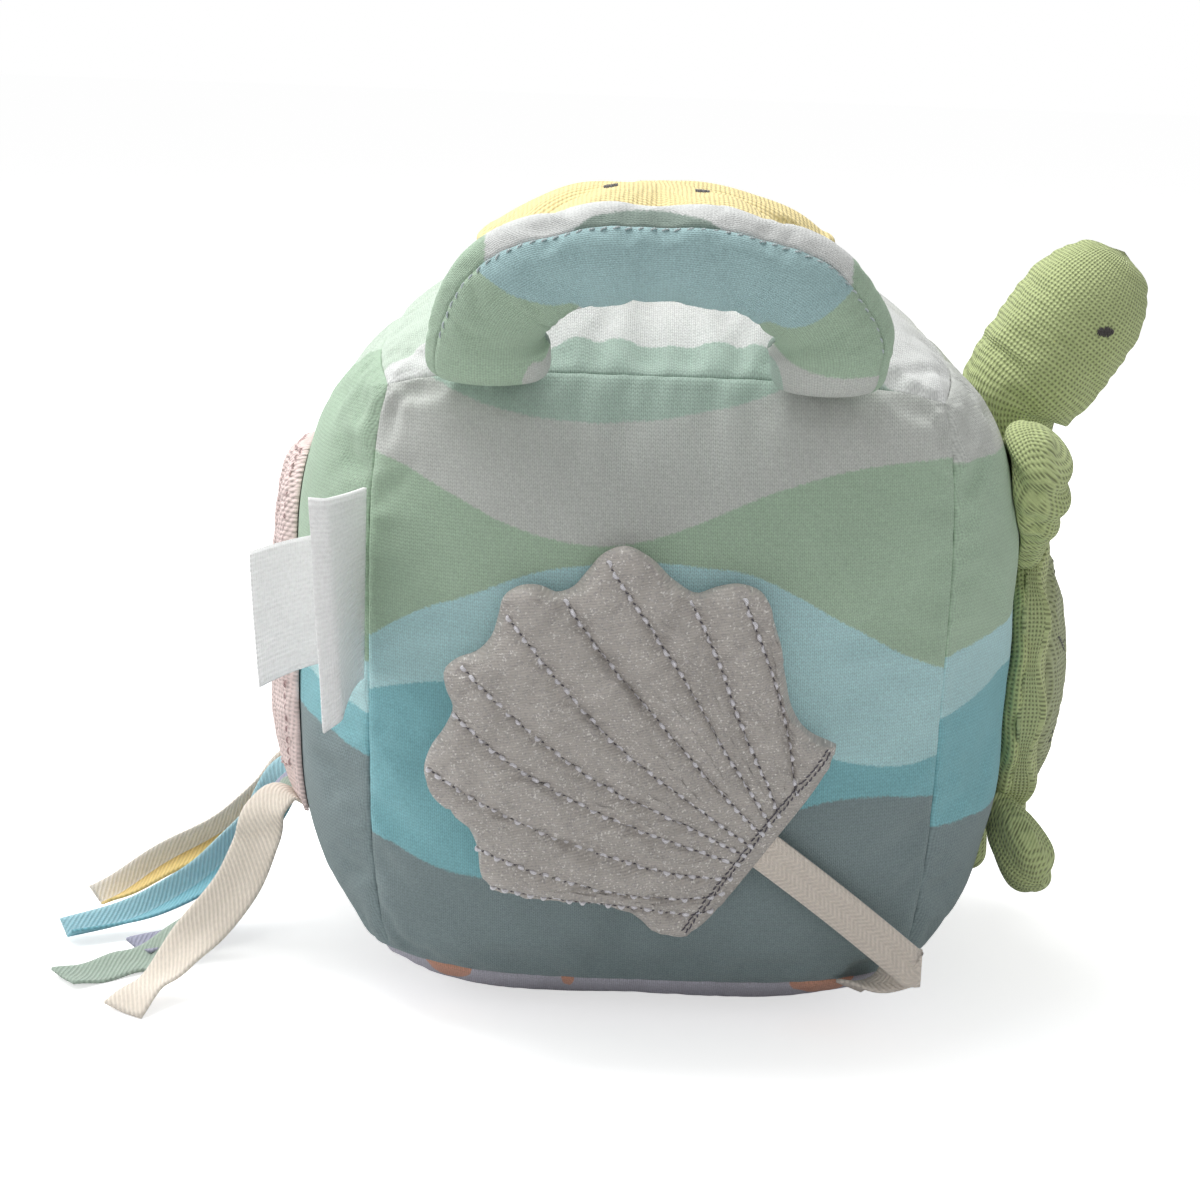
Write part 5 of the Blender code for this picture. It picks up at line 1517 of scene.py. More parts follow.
@dataclass
class Turtle:
    """Gauze turtle on the right panel: belly, wavy rim, domed carapace, head, flippers, tail."""

    height: float = 72 * MM
    belly: tuple[float, float, float] = (27.0 * MM, 36.7 * MM, 6.6 * MM)
    rim: tuple[float, float, float] = (29.6 * MM, 39.4 * MM, 3.4 * MM)
    carapace: tuple[float, float, float] = (23.5 * MM, 29.0 * MM, 8.2 * MM)
    rim_wave: float = 1.2 * MM
    rim_waves: int = 11
    neck_radius: float = 5.0 * MM
    head_radius: float = 15.3 * MM
    head_depth: float = 1.08
    head_out: tuple = ((0, 0), (150, -1.5), (310, -3.4), (485, 2.4), (770, 12.6), (1000, 21))
    head_up: tuple = ((0, 0), (150, 9.8), (310, 19.9), (485, 29), (770, 44.6), (1000, 57))
    head_shape: tuple = ((0, 320), (100, 440), (200, 660), (310, 840), (400, 930), (485, 980),
                         (600, 1000), (700, 1000), (770, 975), (850, 870), (915, 700),
                         (965, 470), (1000, 0))
    eye_place: tuple[float, float, float] = (0.1005, 0.015, 0.1540)
    eye_size: tuple[float, float] = (4.0 * MM, 2.8 * MM)
    root_radius: float = 4.0 * MM
    fold: float = 1.5 * MM
    fold_size: float = 15 * MM
    tail: tuple[float, float] = (12.0 * MM, 4.3 * MM)
    plates: int = 6
    plate_ring: float = 0.52
    stitch: float = 2.4 * MM
    stitch_length: float = 2.1 * MM
    thread: float = 0.32 * MM
    sectors: int = 132
    rings: int = 22

    def build(self, block: Block) -> None:
        """All of the turtle's pieces."""
        self.cloth = Gauze("turtle_gauze", TURTLE_GREEN).make()
        self.rim_cloth = Gauze("turtle_rim_gauze", TURTLE_RIM).make()
        self.shell_cloth = Gauze("turtle_carapace_gauze", TURTLE_SHELL).make()
        self.dark = Thread("turtle_dark_thread", "#5E6152").make()
        self.build_body(block)
        self.build_head(block)
        self.build_limbs(block)

    def plan(self, half: tuple[float, float, float], share: np.ndarray
             ) -> tuple[np.ndarray, np.ndarray, np.ndarray]:
        """Places along Y and Z over an oval, and the angle from its top."""
        angle = np.linspace(0, 2 * math.pi, self.sectors + 1)
        return (share[:, None] * half[0] * np.sin(angle),
                share[:, None] * half[1] * np.cos(angle), angle)

    def build_body(self, block: Block) -> None:
        """Belly on the panel, rim on the belly and carapace on the rim."""
        share = np.sin(math.pi / 2 * np.linspace(0, 1, self.rings + 1))
        y, z, _ = self.plan(self.belly, share)
        s = share[:, None] + 0 * y
        seat = block.on(Side.RIGHT, y, self.height + z)
        top = float(block.skin(Side.RIGHT, np.array(0.0), np.array(
            (self.height - block.centre) / block.half_height))[0]) + 0.4 * MM + self.belly[2]
        foot = seat.copy()
        foot[..., 0] += 0.3 * MM
        roof = np.stack([top - 0.8 * MM * (1 - np.sqrt(np.maximum(0, 1 - s ** 6))), y,
                         self.height + z], -1)
        uv = np.stack([y, z], -1)
        belly = piece("turtle_belly_cloth", Surface.joined([
            Surface.grid(roof, uv), Surface.grid(foot, uv),
            wall(roof[-1], foot[-1], 8, 3.0 * MM)]),
            self.cloth, "block", ("turtle_belly",))
        y, z, angle = self.plan(self.rim, share)
        edge = np.clip((s - 0.8) / 0.2, 0, 1)
        wave = self.rim_wave * edge * (1 + np.cos(self.rim_waves * angle))
        thick = self.rim[2] * (1 - 0.75 * s ** 14)
        base = top + 0.1 * MM
        low = np.stack([base - (0.4 * wave + 2.6 * MM) * edge ** 4, y, self.height + z], -1)
        high = np.stack([base + wave + thick, y, self.height + z], -1)
        uv = np.stack([y, z], -1)
        side = wall(high[-1], low[-1])
        rim = piece("turtle_rim_cloth", Surface.joined([
            Surface.grid(high, uv), Surface.grid(low, uv), side]), self.rim_cloth, "block",
            ("turtle_rim",), levels=1)
        self.build_carapace(base + 2.8 * MM, share)

    def build_carapace(self, base: float, share: np.ndarray) -> None:
        """Dome with sewn plates: a grid of short valleys round a middle plate."""
        y, z, angle = self.plan(self.carapace, share)
        s = share[:, None] + 0 * y
        swell = 1.0 * MM + (self.carapace[2] - 1.0 * MM) * np.sqrt(np.maximum(0, 1 - s ** 2))
        ring = np.exp(-((s - self.plate_ring) / 0.05) ** 2)
        spokes = np.exp(-((np.abs(np.sin(3 * angle + 0.3)) / 0.16) ** 2)) * (s > 0.5)
        swell = swell - 0.9 * MM * np.maximum(ring, spokes * np.clip((1 - s) / 0.2, 0, 1))
        dome = np.stack([base + swell, y, self.height + z], -1)
        foot = np.stack([base + 0 * y, y, self.height + z], -1)
        uv = np.stack([y, z], -1)
        whole = Surface.joined([
            Surface.grid(dome, uv), Surface.grid(foot, uv), wall(dome[-1], foot[-1])])
        pins = np.ones(len(whole.points), bool)
        pins[:s.size] = ((np.maximum(ring, spokes) > 0.5) | (s > 0.97)).reshape(-1)
        whole.points = blown(whole, pins, 0.04, 1.2 * MM, Rest.GAUZE)
        shell = piece("turtle_carapace_cloth", whole, self.shell_cloth, "block",
                      ("turtle_carapace",), levels=1)
        tree = whole.tree()
        turn = np.linspace(0, 2 * math.pi, 90)
        lines = [np.stack([0 * turn, self.plate_ring * self.carapace[0] * np.sin(turn),
                           self.height + self.plate_ring * self.carapace[1] * np.cos(turn)], -1)]
        for k in range(self.plates):
            way = (k * math.pi - 0.3) / 3
            reach = np.linspace(0.56, 0.92, 12)
            lines.append(np.stack([0 * reach, reach * self.carapace[0] * math.sin(way),
                                   self.height + reach * self.carapace[1] * math.cos(way)], -1))
        parts = []
        for k, line in enumerate(lines):
            hits, _ = laid(tree, line, OUT_RIGHT, 0.3)
            places, along = walked(hits, self.stitch)
            places, normal = laid(tree, places, OUT_RIGHT, 0.3)
            parts.append(threads(places, along, normal, self.stitch_length, self.thread, seed=k))
        piece("turtle_carapace_thread", Surface.joined(parts), self.dark, "block")

    def edge_place(self, degrees: float, distance: float) -> tuple[np.ndarray, np.ndarray]:
        """(Y, Z) outside the belly's oval at an angle from its top, and the way out there."""
        turn = math.radians(degrees)
        edge = np.array([self.belly[0] * math.sin(turn), self.belly[1] * math.cos(turn)])
        out = unit(np.array([math.sin(turn) / self.belly[0], math.cos(turn) / self.belly[1]]))
        return edge + out * distance, out

    def root(self, block: Block, y: float, z: float, radius: float) -> np.ndarray:
        """Middle of a limb's root, resting on the panel."""
        a = np.array(y / block.half_depth)
        b = np.array((self.height + z - block.centre) / block.half_height)
        for _ in range(6):
            guess = block.skin(Side.RIGHT, a, b)
            a = a + (y - guess[1]) / block.half_depth
            b = b + (self.height + z - guess[2]) / block.half_height
        guess = block.skin(Side.RIGHT, a, b)
        return np.array([guess[0] + radius + 0.4 * MM, y, self.height + z])

    def build_head(self, block: Block) -> None:
        """Head like a fat egg that rests on the panel and leans out, with eyes on both sides."""
        spot, _ = self.edge_place(0.0, self.neck_radius + 0.4 * MM)
        root = self.root(block, spot[0], spot[1], self.neck_radius)
        ball = np.radians(np.linspace(90, 0, 10))[:-1]
        share = 1 - (1 - np.linspace(0, 1, 71)) ** 1.35
        radius = np.maximum(flow(self.head_shape, share), 0) * self.head_radius
        middle = root + OUT_RIGHT * flow(self.head_out, share)[:, None]
        middle = middle + UP * flow(self.head_up, share)[:, None]
        middle = np.concatenate([root - UP * (self.neck_radius * np.sin(ball))[:, None], middle])
        radius = np.concatenate([self.neck_radius * np.cos(ball), radius])
        radius[-1] = 0.0
        angle = np.linspace(0, 2 * math.pi, 73)
        front = np.cross(unit(np.gradient(middle, axis=0)), [0, 1, 0])[:, None]
        groove = 1 - 0.035 * np.exp(-(np.sin(angle) / 0.13) ** 2)
        run = np.arange(len(radius))[:, None] * 1.0 * MM
        pleat = 1 - 0.02 * (1 + wander(run, 5 * MM, 3.0)) * np.exp(-np.abs(np.sin(angle)) / 0.5)
        size = radius[:, None] * groove * pleat
        points = middle[:, None] + front * (size * np.cos(angle))[..., None]
        wide = self.head_depth * size * np.sin(angle)
        points = points + np.array([0, 1, 0]) * wide[..., None]
        seat = block.on(Side.RIGHT, points[..., 1], points[..., 2])[..., 0]
        points[..., 0] = np.maximum(points[..., 0], seat + 0.5 * MM)
        uv = np.stack(np.broadcast_arrays(
            (angle * self.head_radius)[None], run), -1)
        whole = Surface.grid(points, uv)
        pins = np.zeros(points.shape[:2], bool)
        pins[:22] = True
        pins[:, [0, 36, 72]] = True
        whole.points = blown(whole, pins.reshape(-1), 0.03, 1.0 * MM, Rest.GAUZE)
        head = piece("turtle_head_cloth", whole, self.cloth, "turtle_head",
                     ("turtle_head",), levels=1)
        tree = whole.tree()
        eyes = []
        for sign in (-1, 1):
            out = unit(np.array([0.12, sign * 1.0, 0.1]))
            place = np.array(self.eye_place) * (1, sign, 1)
            eyes.append(satin_oval(tree, place, out, unit(np.array([1.0, -sign * 0.12, 0.0])),
                                   *self.eye_size))
        piece("turtle_eyes", Surface.joined(eyes), Thread("turtle_eye_thread", "#45403E").make(),
              "turtle_head")

    def build_limbs(self, block: Block) -> None:
        """Four flippers, with loose folds past their roots, and the tail."""
        clear = self.root_radius + 0.4 * MM
        for pair in FLIPPERS:
            for end, sign in (("near", -1), ("far", 1)):
                spot, out = self.edge_place(pair.place, clear)
                root = self.root(block, sign * spot[0], spot[1], self.root_radius)
                heading = math.atan2(out[1], out[0]) - math.radians(pair.turn)
                along = np.array([math.sin(math.radians(pair.lift)), sign * math.cos(heading),
                                  math.sin(heading)])
                surface = pair.limb.surface(root, along, OUT_RIGHT)
                reach = np.linalg.norm(surface.points - root, axis=1)[:, None]
                middle = root + unit(along) * ((surface.points - root) @ unit(along))[:, None]
                fade = np.clip(reach / (14 * MM) - 0.4, 0, 1)
                folds = lumps(surface.points, self.fold_size, 1.0)[:, None] * self.fold * fade
                surface.points = surface.points + unit(surface.points - middle) * folds
                seat = block.on(Side.RIGHT, surface.points[:, 1], surface.points[:, 2])[:, 0]
                surface.points[:, 0] = np.maximum(surface.points[:, 0], seat + 0.4 * MM)
                body = f"turtle_{pair.kind}_flipper_{end}"
                pins = np.linalg.norm(surface.points - root, axis=1) < 2 * self.root_radius
                surface.points = blown(surface, pins, 0.03, 0.8 * MM, Rest.GAUZE)
                obj = piece(body + "_cloth", surface, self.cloth, body, (body,),
                            levels=1)
        spot, _ = self.edge_place(180.0, clear)
        root = self.root(block, 0.0, spot[1], self.root_radius)
        length, half = self.tail
        tail = Limb(length, half, half).surface(root, -UP, OUT_RIGHT)
        obj = piece("turtle_tail_cloth", tail, self.cloth, "block",
                    ("turtle_tail",))


# The shell toy

SHELL_EDGE_KNOTS = (
    (26.2, -0.6), (25.8, 1.4), (25.2, 3.9), (25.2, 7.3), (26.8, 11.4), (31.8, 17.4),
    (38.8, 25.4), (42.8, 32.6), (41.6, 36.6), (37.6, 40.6), (34.6, 42.6), (33.8, 47.9),
    (34.6, 55.2), (33.3, 60.9), (29.6, 63.3), (24.3, 63.8), (19.8, 64.2), (17.0, 66.2),
    (16.1, 69.7), (13.1, 73.3), (9.6, 74.4), (5.9, 73.0), (1.2, 71.4), (-3.0, 71.8),
    (-7.3, 74.4), (-10.6, 74.9), (-13.5, 72.4), (-16.0, 68.7), (-20.5, 67.5), (-26.2, 67.2),
    (-31.0, 65.2), (-33.4, 61.6), (-34.3, 55.8), (-35.4, 50.0), (-38.0, 45.9), (-41.3, 42.7),
    (-42.9, 39.6), (-41.4, 34.4), (-36.3, 25.4), (-31.4, 17.6), (-29.7, 11.6), (-29.5, 6.0),
    (-27.9, 1.8), (-26.6, -0.6),
)
SHELL_ROWS = (
    ((40.4, 35.4), (32.5, 22.7), (24.5, 11.9), (12.6, -0.4)),
    ((33.2, 43.8), (27.5, 32.8), (18.7, 19.4), (10.5, 5.0), (6.4, -1.2)),
    ((29.2, 62.6), (24.9, 50.4), (19.7, 36.0), (12.8, 20.1), (3.9, -1.2)),
    ((17.4, 64.8), (12.8, 50.4), (8.6, 32.7), (4.1, 13.3), (1.2, -1.2)),
    ((7.4, 72.3), (2.8, 54.6), (-0.8, 36.1), (-1.5, 17.0), (-2.2, -1.0)),
    ((-7.2, 73.4), (-9.2, 56.1), (-9.5, 34.8), (-5.9, 13.7), (-4.4, -1.0)),
    ((-16.6, 68.4), (-17.4, 52.5), (-14.7, 30.8), (-9.0, 8.6), (-6.5, -1.0)),
    ((-29.6, 66.0), (-27.5, 47.6), (-21.8, 25.5), (-13.4, 5.2), (-9.4, -1.4)),
    ((-37.6, 47.0), (-33.1, 32.9), (-26.4, 16.7), (-16.9, 2.4), (-13.0, -1.8)),
    ((-42.6, 39.6), (-35.5, 25.8), (-26.5, 11.2), (-20.0, 0.6), (-17.4, -2.0)),
)


@dataclass
class ShellToy:
    """Fan of glitter satin with six lobes, padded between ten sewn rows that meet at its base.

    A point of the fan is base + along·s + up·t. The hem and the lobed edge are joined by straight
    lines, one for each place along the edge; the hem's half length, its drop and the rise of its
    ends are `foot`, in millimetres.
    """

    place: tuple[float, float] = (22.5 * MM, 51.7 * MM)
    turn: float = 54.8
    depth: float = 81.8 * MM
    swell: float = 7.4 * MM
    back_swell: float = 1.7 * MM
    edge: float = 0.7 * MM
    foot: tuple[float, float, float] = (26.3, 3.2, 2.6)
    valley: float = 0.5
    valley_reach: float = 5.6 * MM
    columns: int = 180
    rings: int = 50
    stitch: float = 2.75 * MM
    thread: float = 0.46 * MM
    link: float = 0.18 * MM

    def frame(self) -> tuple[np.ndarray, np.ndarray, np.ndarray]:
        """Base middle, direction along the base and direction up the fan."""
        turn = math.radians(self.turn)
        base = np.array([self.place[0], -self.depth, self.place[1]])
        return (base, np.array([math.cos(turn), 0, math.sin(turn)]),
                np.array([-math.sin(turn), 0, math.cos(turn)]))

    def world(self, s: np.ndarray, t: np.ndarray, out: np.ndarray | float) -> np.ndarray:
        """Points of the fan at s along, t up and `out` in front of its middle plane."""
        base, along, up = self.frame()
        s, t, out = np.broadcast_arrays(s, t, out)
        return base + along * s[..., None] + up * t[..., None] + OUT_FRONT * out[..., None]

    def edge_line(self) -> np.ndarray:
        """The lobed edge as (columns + 1, 2) places, smooth through its knots."""
        knots = np.array(SHELL_EDGE_KNOTS)
        run = np.concatenate([[0], np.cumsum(np.linalg.norm(np.diff(knots, axis=0), axis=1))])
        at = np.linspace(0, run[-1], self.columns + 1) * MM
        return np.stack([flow(tuple(zip(run, knots[:, k])), at) for k in (0, 1)], -1)

    def row_distance(self, s: np.ndarray, t: np.ndarray) -> np.ndarray:
        """Distance from places of the fan to the nearest sewn row."""
        nearest = np.full(s.shape, 1.0)
        for row in SHELL_ROWS:
            line = self.row_line(row)
            for (s0, t0), (s1, t1) in zip(line[:-1], line[1:]):
                ds, dt = s1 - s0, t1 - t0
                share = np.clip(((s - s0) * ds + (t - t0) * dt) / (ds * ds + dt * dt), 0, 1)
                nearest = np.minimum(nearest, np.hypot(s - s0 - share * ds, t - t0 - share * dt))
        return nearest

    @staticmethod
    def row_line(row: tuple, steps: int = 16) -> np.ndarray:
        """A sewn row as a smooth line of (s, t) places."""
        knots = np.array(row)
        run = np.concatenate([[0], np.cumsum(np.linalg.norm(np.diff(knots, axis=0), axis=1))])
        at = np.linspace(0, run[-1], steps) * MM
        return np.stack([flow(tuple(zip(run, knots[:, k])), at) for k in (0, 1)], -1)

    def skins(self) -> tuple[np.ndarray, np.ndarray, np.ndarray, np.ndarray]:
        """(s, t) of the fan's grid and the heights of its front and its back."""
        line = self.edge_line()
        share = np.linspace(0, 1, self.rings + 1)
        share = (0.35 * share + 0.65 * np.sin(math.pi / 2 * share))[:, None]
        across = np.linspace(1, -1, self.columns + 1)
        half, drop, rise = self.foot
        foot = np.stack([half * across * (0.25 + 0.75 * np.abs(across) ** 7),
                         rise * across ** 30 - drop], -1) * MM
        s = foot[None, :, 0] * (1 - share) + line[None, :, 0] * share
        t = foot[None, :, 1] * (1 - share) + line[None, :, 1] * share
        along_edge = np.abs(across)[None]
        ends = (1 - (1 - np.minimum(1.0, share / 0.4)) ** 2) * (0.08 + 0.92 * np.sqrt(
            np.maximum(0, 1 - share ** 7)))
        sides = np.sqrt(np.maximum(0, 1 - along_edge ** 12))
        rim = np.clip((1 - share) / 0.012, 0, 1)
        distance = self.row_distance(s, t)
        fold = np.clip(1 - distance / self.valley_reach, 0, 1)
        puff = np.sqrt(np.maximum(0, 1 - fold ** 2))
        front = self.edge * rim + self.swell * ends * sides * (1 - self.valley * (1 - puff))
        wrinkle = wander(t + 0.4 * s, 6.5 * MM, 1.0) * np.exp(-distance / (2.5 * MM))
        front = front + 0.28 * MM * wrinkle * ends * sides
        back = self.edge * rim + self.back_swell * ends * sides * (1 - 0.5 * (1 - puff))
        return s, t, front, back

    def build(self) -> None:
        """Front and back cloth, then the rows of thread on both and the base rows."""
        s, t, front, back = self.skins()
        uv = np.stack([s, t], -1)
        satin = GlitterSatin("shell_satin", "#BEB8B2", "#F1EEEA", "#8A858B").make()
        p_front = self.world(s, t, 0.05 * MM + front)
        p_back = self.world(s, t, -0.05 * MM - back)
        whole = Surface.joined([Surface.grid(p_front, uv), Surface.grid(p_back, uv)])
        distance = self.row_distance(s, t)
        rim = np.zeros(s.shape, bool)
        rim[[0, -1]] = True
        rim[:, [0, -1]] = True
        pins = (distance < 0.7 * MM) | rim
        pinned = np.concatenate([pins.reshape(-1), np.ones(s.size, bool)])
        whole.points = blown(whole, pinned, 0.05, 1.3 * MM, pressure=3.0)
        count = s.size
        for name, grid, level, slot, node in (
            ("shell_front_cloth", whole.points[:count], 0.05 * MM, "silver_satin", "shell_front"),
            ("shell_back_cloth", whole.points[count:], -0.05 * MM, "silver_satin", "shell_back"),
        ):
            points = grid.reshape(*s.shape, 3)
            middle = self.world(s, t, level)
            edges = [np.stack([points[k], middle[k]]) for k in (0, -1)]
            edges += [np.stack([points[:, k], middle[:, k]]) for k in (0, -1)]
            parts = [Surface.grid(points, uv), Surface.grid(middle, uv)]
            parts += [Surface.grid(e, e[..., [0, 2]]) for e in edges]
            obj = piece(name, Surface.joined(parts), satin, "shell_toy", (node,))
        front_tree = Surface.grid(whole.points[:count].reshape(*s.shape, 3), uv).tree()
        back_tree = Surface.grid(whole.points[count:].reshape(*s.shape, 3), uv).tree()
        self.build_stitches(front_tree, OUT_FRONT, "shell_front_thread")
        self.build_stitches(back_tree, -OUT_FRONT, "shell_back_thread")

    def sewn(self, tree: BVHTree, line: np.ndarray, out: np.ndarray, pitch: float, length: float,
             radius: float, seed: int, turn: float = 0.0, between: bool = False) -> Surface:
        """A row of stitches along a line of (s, t) places, or the short links between them, which
        stand for the shade in the stitch holes.
        """
        flat = self.world(line[:, 0], line[:, 1], 0.0)
        hits, _ = laid(tree, flat, out)
        places, along = walked(hits, pitch)
        if between:
            places, along = (places[1:] + places[:-1]) / 2, along[1:]
        places, normal = laid(tree, places, out)
        return threads(places, along, normal, length, radius, turn, seed)

    def build_stitches(self, tree: BVHTree, out: np.ndarray, name: str) -> None:
        """Ten rows of pale stitches with dark links, which are painted shade of the stitch holes, and
        crowded dark rows along the base.
        """
        lines = [self.row_line(row) for row in SHELL_ROWS]
        pale = [self.sewn(tree, line, out, self.stitch, self.stitch * 0.74, self.thread, k)
                for k, line in enumerate(lines)]
        piece(name, Surface.joined(pale), Thread("shell_thread", "#F3F1F7").make(), "shell_toy")
        # Dark links between the pale stitches: painted shade of the stitch holes, not a thread of
        # their own
        links = [self.sewn(tree, line, out, self.stitch, 0.9 * MM, self.link, 40 + k, 0.3, True)
                 for k, line in enumerate(lines)]
        base = np.stack([np.linspace(25.2, -25.0, 60), 0.3 * np.sin(np.linspace(0, 9, 60)) + 0.2],
                        -1) * MM
        links += [self.sewn(tree, base + np.array([0, dy * MM]), out, 1.4 * MM, 1.6 * MM,
                            self.link, 20 + k, turn)
                  for k, (dy, turn) in enumerate(((0.0, 0.25), (0.9, -0.2)))]
        # One piece for the dark base rows and the dark links, which are painted hole shade
        piece(name + "_links", Surface.joined(links), Thread("shell_dark_thread_and_hole_shade", "#5B5760").make(),
              "shell_toy")


@dataclass
class Tether:
    """Herringbone tape from the lower right front seam, folded back to the shell's base."""

    width: float = 8.5 * MM
    thickness: float = 0.8 * MM
    offset: float = 1.5 * MM
    fold: tuple[float, float, float] = (58.5 * MM, -72.0 * MM, 20.0 * MM)
    root_x: float = 50 * MM
    sag: float = 1.6 * MM
    steps: int = 60

    def build(self, block: Block, toy: ShellToy) -> None:
        """One strip: root to fold, a tight turn at the fold, and the run to the shell."""
        base, along, up = toy.frame()
        end = base - along * self.offset - up * 2.4 * MM
        fold = np.array(self.fold)
        root = block.skin(Side.FRONT, np.array(self.root_x / block.half_width), np.array(-1.0))
        root = root + unit(np.array([0, -1.0, -1.0])) * 1.4 * MM
        start = fold - np.array([0, 1.3 * MM, 0])
        share = np.linspace(0, 1, 16)[:, None]
        first = root * (1 - share) + fold * share
        first_side = unit(np.array([1.0, 0, 0]) * (1 - share) + UP * share)
        turn = np.linspace(0, math.pi, 9)[1:-1, None]
        bend = (fold + start) / 2 + np.array([1.0, 0, 0]) * 1.6 * MM * np.sin(turn)
        bend = bend + (fold - start) / 2 * np.cos(turn)
        share = np.linspace(0, 1, self.steps)[:, None]
        run = start * (1 - share) + end * share
        run = run + np.array([0, 1.0, 0]) * self.sag * np.sin(math.pi * share)
        blend = np.minimum(1.0, share / 0.33)
        run_side = unit(UP * (1 - blend) + along * blend)
        line = np.concatenate([first, bend, run])
        side = np.concatenate([first_side, np.broadcast_to(UP, bend.shape), run_side])
        points, uv = strip(line, side, self.width)
        obj = piece("tether_strap", Surface.grid(points, uv), Tape(
            "tether_herringbone", "#F0E4D8", Rib.HERRINGBONE, 1.3 * MM, 0.14).make(), None,
            ("tether_tape", "tether_root"), thickness=self.thickness, weld=False,
            offset=0.0)
        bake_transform(obj)


# Labels

@dataclass(frozen=True)
class Label:
    """A bare label: its cloth, its size and how it leaves the seam.

    size is its length out of the seam and its height, top the height of its upper edge at the
    seam, droop how far the outer ends of its upper and its lower edge hang down, way its direction
    at the seam from +X, curl how far its lower edge is turned beyond the upper one and fold how
    far its outer fifth is turned. The last three are in degrees.
    """

    name: str
    cloth: Tape
    size: tuple[float, float]
    top: float
    droop: tuple[float, float]
    way: float
    thickness: float
    curl: float
    fold: float


LABELS = (
    Label("satin_label", Tape("label_satin", "#FFFFFF", Rib.CROSS, 1.0 * MM, 0.05, 0.5,
                              scatter=0.7),
          (24 * MM, 28 * MM), 111.5 * MM, (4 * MM, 4 * MM), 196.0, 0.5 * MM, 26.0, 0.0),
    Label("care_label", Tape("label_cotton", "#FFFFFF", Rib.CROSS, 0.9 * MM, 0.07, 0.75,
                             scatter=0.7),
          (22 * MM, 42 * MM), 121 * MM, (-1 * MM, 7 * MM), 250.0, 0.9 * MM, 18.0, -60.0),
)


@dataclass
class Labels:
    """Two bare labels in the left front seam: a small satin flag and a folded care label."""

    steps: int = 30
    rows: int = 28
    ripple: float = 0.35 * MM

    def build(self, block: Block) -> None:
        """One piece for each label."""
        for label in LABELS:
            self.hang(block, label)

    def hang(self, block: Block, label: Label) -> None:
        """A label whose line is the sum of short steps, each turned by its curl and its fold."""
        length, height = label.size
        middle = (label.top - height / 2 - block.centre) / block.half_height
        seam = block.skin(Side.FRONT, np.array(-1.0), np.array(middle))
        share = np.linspace(0, 1, self.steps + 1)[None, :]
        up = np.linspace(0, 1, self.rows + 1)[:, None]
        turned = label.fold * np.clip((share - 0.8) / 0.1, 0, 1)
        heading = np.radians(label.way + label.curl * (1 - up) * share ** 0.5 + turned)
        step = np.stack([np.cos(heading), np.sin(heading), 0 * heading], -1) * length / self.steps
        points = seam + step[:, :1] * 1.4 + np.cumsum(step, axis=1) - step[:, :1]
        points[..., 1] += self.ripple * wander(up * height, 14 * MM, 1.0) * share
        hang = label.droop[0] * up + label.droop[1] * (1 - up)
        points[..., 2] = label.top - height * (1 - up) - hang * share ** 2
        uv = np.stack(np.broadcast_arrays(length * share, height * up), -1)
        obj = piece(label.name + "_cloth", Surface.grid(points, uv), label.cloth.make(),
                    label.name, (label.name,), thickness=label.thickness,
                    weld=False, offset=0.0)


# The studio

@dataclass(frozen=True)
class Lamp:
    """A round soft light that looks at the block's middle."""

    name: str
    place: tuple[float, float, float]
    size: float
    power: float


LAMPS = (
    Lamp("top_lamp", (-0.30, 0.20, 1.05), 0.9, 10.8),
    Lamp("left_lamp", (-1.1, 0.3, 0.45), 0.8, 3.6),
    Lamp("fill_lamp", (0.9, -0.9, 0.9), 1.0, 0.7),
)


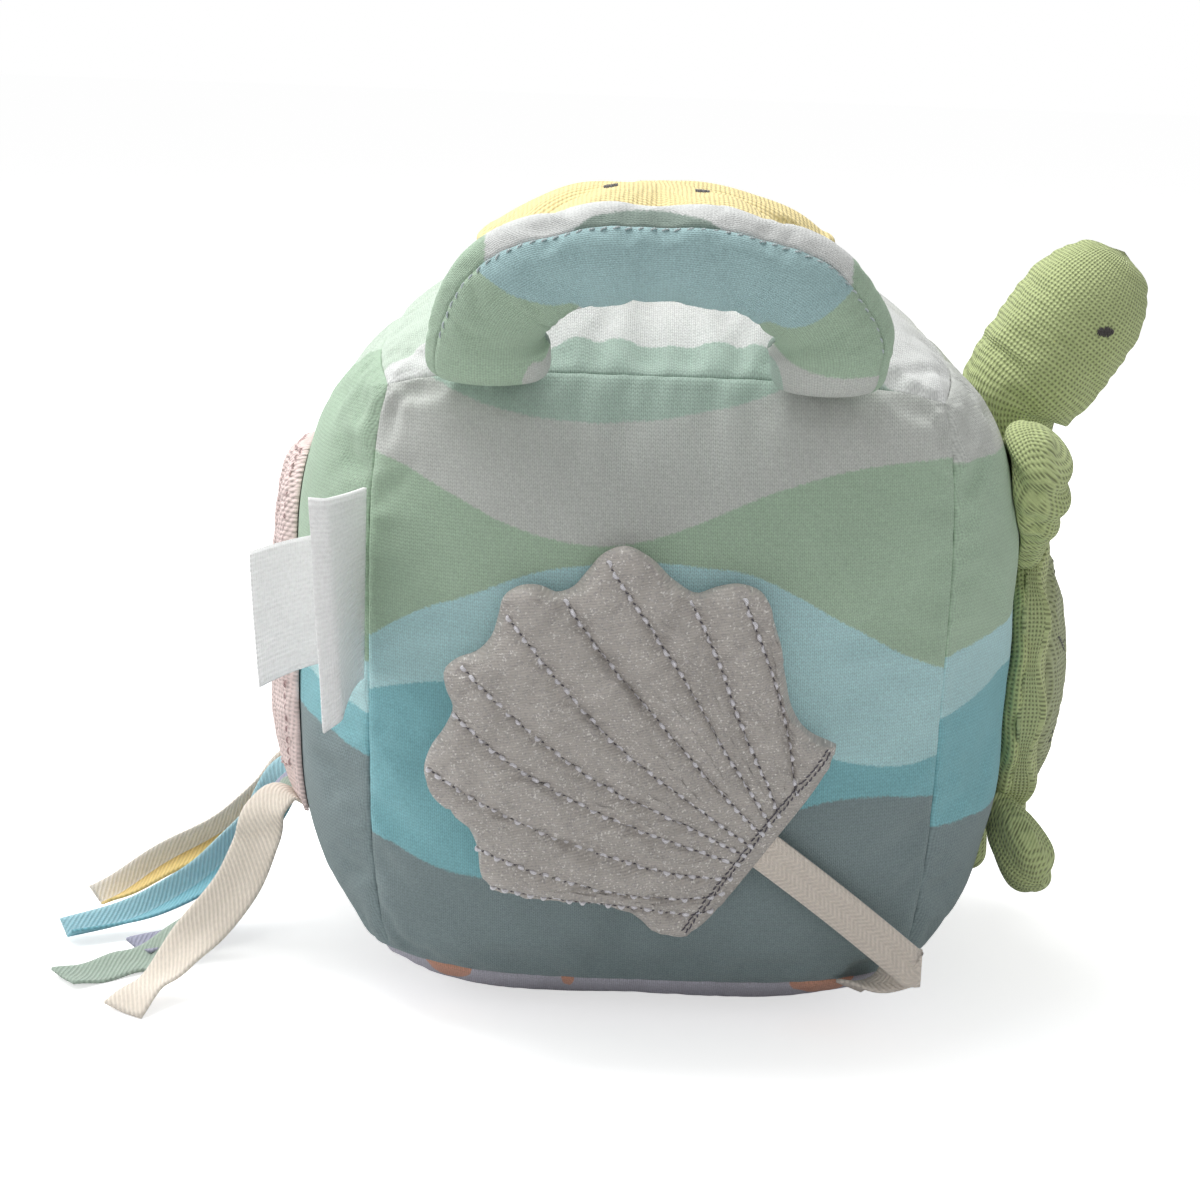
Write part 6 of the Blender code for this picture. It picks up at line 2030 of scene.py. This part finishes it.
@dataclass
class Studio:
    """Plain floor, soft light and the camera at the photograph's viewing angle."""

    camera_place: tuple[float, float, float] = (-12.7 * MM, -606.0 * MM, 223.3 * MM)
    elevation: float = 13.0
    roll: float = 2.0
    lens: float = 77.44
    world_strength: float = 0.44
    aim: tuple[float, float, float] = (0, 0, 0.08)
    floor_glow: float = 0.64
    floor_reach: float = 6.0

    def build(self) -> None:
        """Camera, lamps, world and floor."""
        scene = bpy.context.scene
        scene.view_settings.view_transform = "Standard"
        data = bpy.data.cameras.new("camera")
        data.lens, data.sensor_width = self.lens, 36.0
        data.clip_start, data.clip_end = 0.01, 20.0
        camera = bpy.data.objects.new("camera", data)
        turn = Matrix.Rotation(math.radians(90 - self.elevation), 4, "X")
        roll = Matrix.Rotation(math.radians(self.roll), 4, "Z")
        camera.matrix_world = Matrix.Translation(self.camera_place) @ turn @ roll
        scene.collection.objects.link(camera)
        scene.camera = camera
        for lamp in LAMPS:
            light = bpy.data.lights.new(lamp.name, "AREA")
            light.shape, light.size, light.energy = "DISK", lamp.size, lamp.power
            obj = bpy.data.objects.new(lamp.name, light)
            obj.location = lamp.place
            way = Vector(self.aim) - Vector(lamp.place)
            obj.rotation_euler = way.to_track_quat("-Z", "Y").to_euler()
            scene.collection.objects.link(obj)
        self.build_world(scene)
        self.build_floor()

    def build_world(self, scene: bpy.types.Scene) -> None:
        """Even light all round, seen as plain white by the camera and by what reflects."""
        world = bpy.data.worlds.new("studio")
        scene.world = world
        world.use_nodes = True
        tree = world.node_tree
        paths = tree.nodes.new("ShaderNodeLightPath")
        background = tree.nodes["Background"]
        background.inputs["Color"].default_value = (1, 1, 1, 1)
        level = tree.nodes.new("ShaderNodeMapRange")
        seen = paths.outputs["Is Camera Ray"]
        for ray in ("Is Glossy Ray", "Is Transmission Ray"):
            either = tree.nodes.new("ShaderNodeMath")
            either.operation = "MAXIMUM"
            tree.links.new(seen, either.inputs[0])
            tree.links.new(paths.outputs[ray], either.inputs[1])
            seen = either.outputs[0]
        tree.links.new(seen, level.inputs[0])
        level.inputs["To Min"].default_value = self.world_strength
        tree.links.new(level.outputs[0], background.inputs["Strength"])

    def build_floor(self) -> None:
        """White matt floor that glows a little for the camera and keeps the shadow."""
        r = Recipe("studio_floor", roughness=0.95, specular_ior_level=0.0)
        r.shader.inputs["Base Color"].default_value = (0.8, 0.8, 0.8, 1)
        seen = r.add("LightPath", out="Is Camera Ray")
        r.shader.inputs["Emission Color"].default_value = (1, 1, 1, 1)
        glow = r.add("Math", seen, self.floor_glow, operation="MULTIPLY")
        r.tree.links.new(glow, r.shader.inputs["Emission Strength"])
        mesh = bpy.data.meshes.new("studio_floor")
        reach = self.floor_reach
        mesh.from_pydata([(-reach, -reach, 0), (reach, -reach, 0), (reach, reach, 0),
                          (-reach, reach, 0)], [], [(0, 1, 2, 3)])
        mesh.materials.append(r.material)
        floor = bpy.data.objects.new("studio_floor", mesh)
        bpy.context.scene.collection.objects.link(floor)


def main() -> None:
    """Builds the studio, then each sub-assembly in order."""
    logging.basicConfig(level=logging.INFO, format="%(name)s: %(message)s")
    Studio().build()
    block = Block()
    block.build()
    Rattle().build()
    Handle().build()
    Starfish().build(block)
    bell = Jellyfish()
    bell.build(block)
    Ribbons().build(block, bell)
    Turtle().build(block)
    toy = ShellToy()
    toy.build()
    Tether().build(block, toy)
    Labels().build(block)


if __name__ == "__main__":
    main()
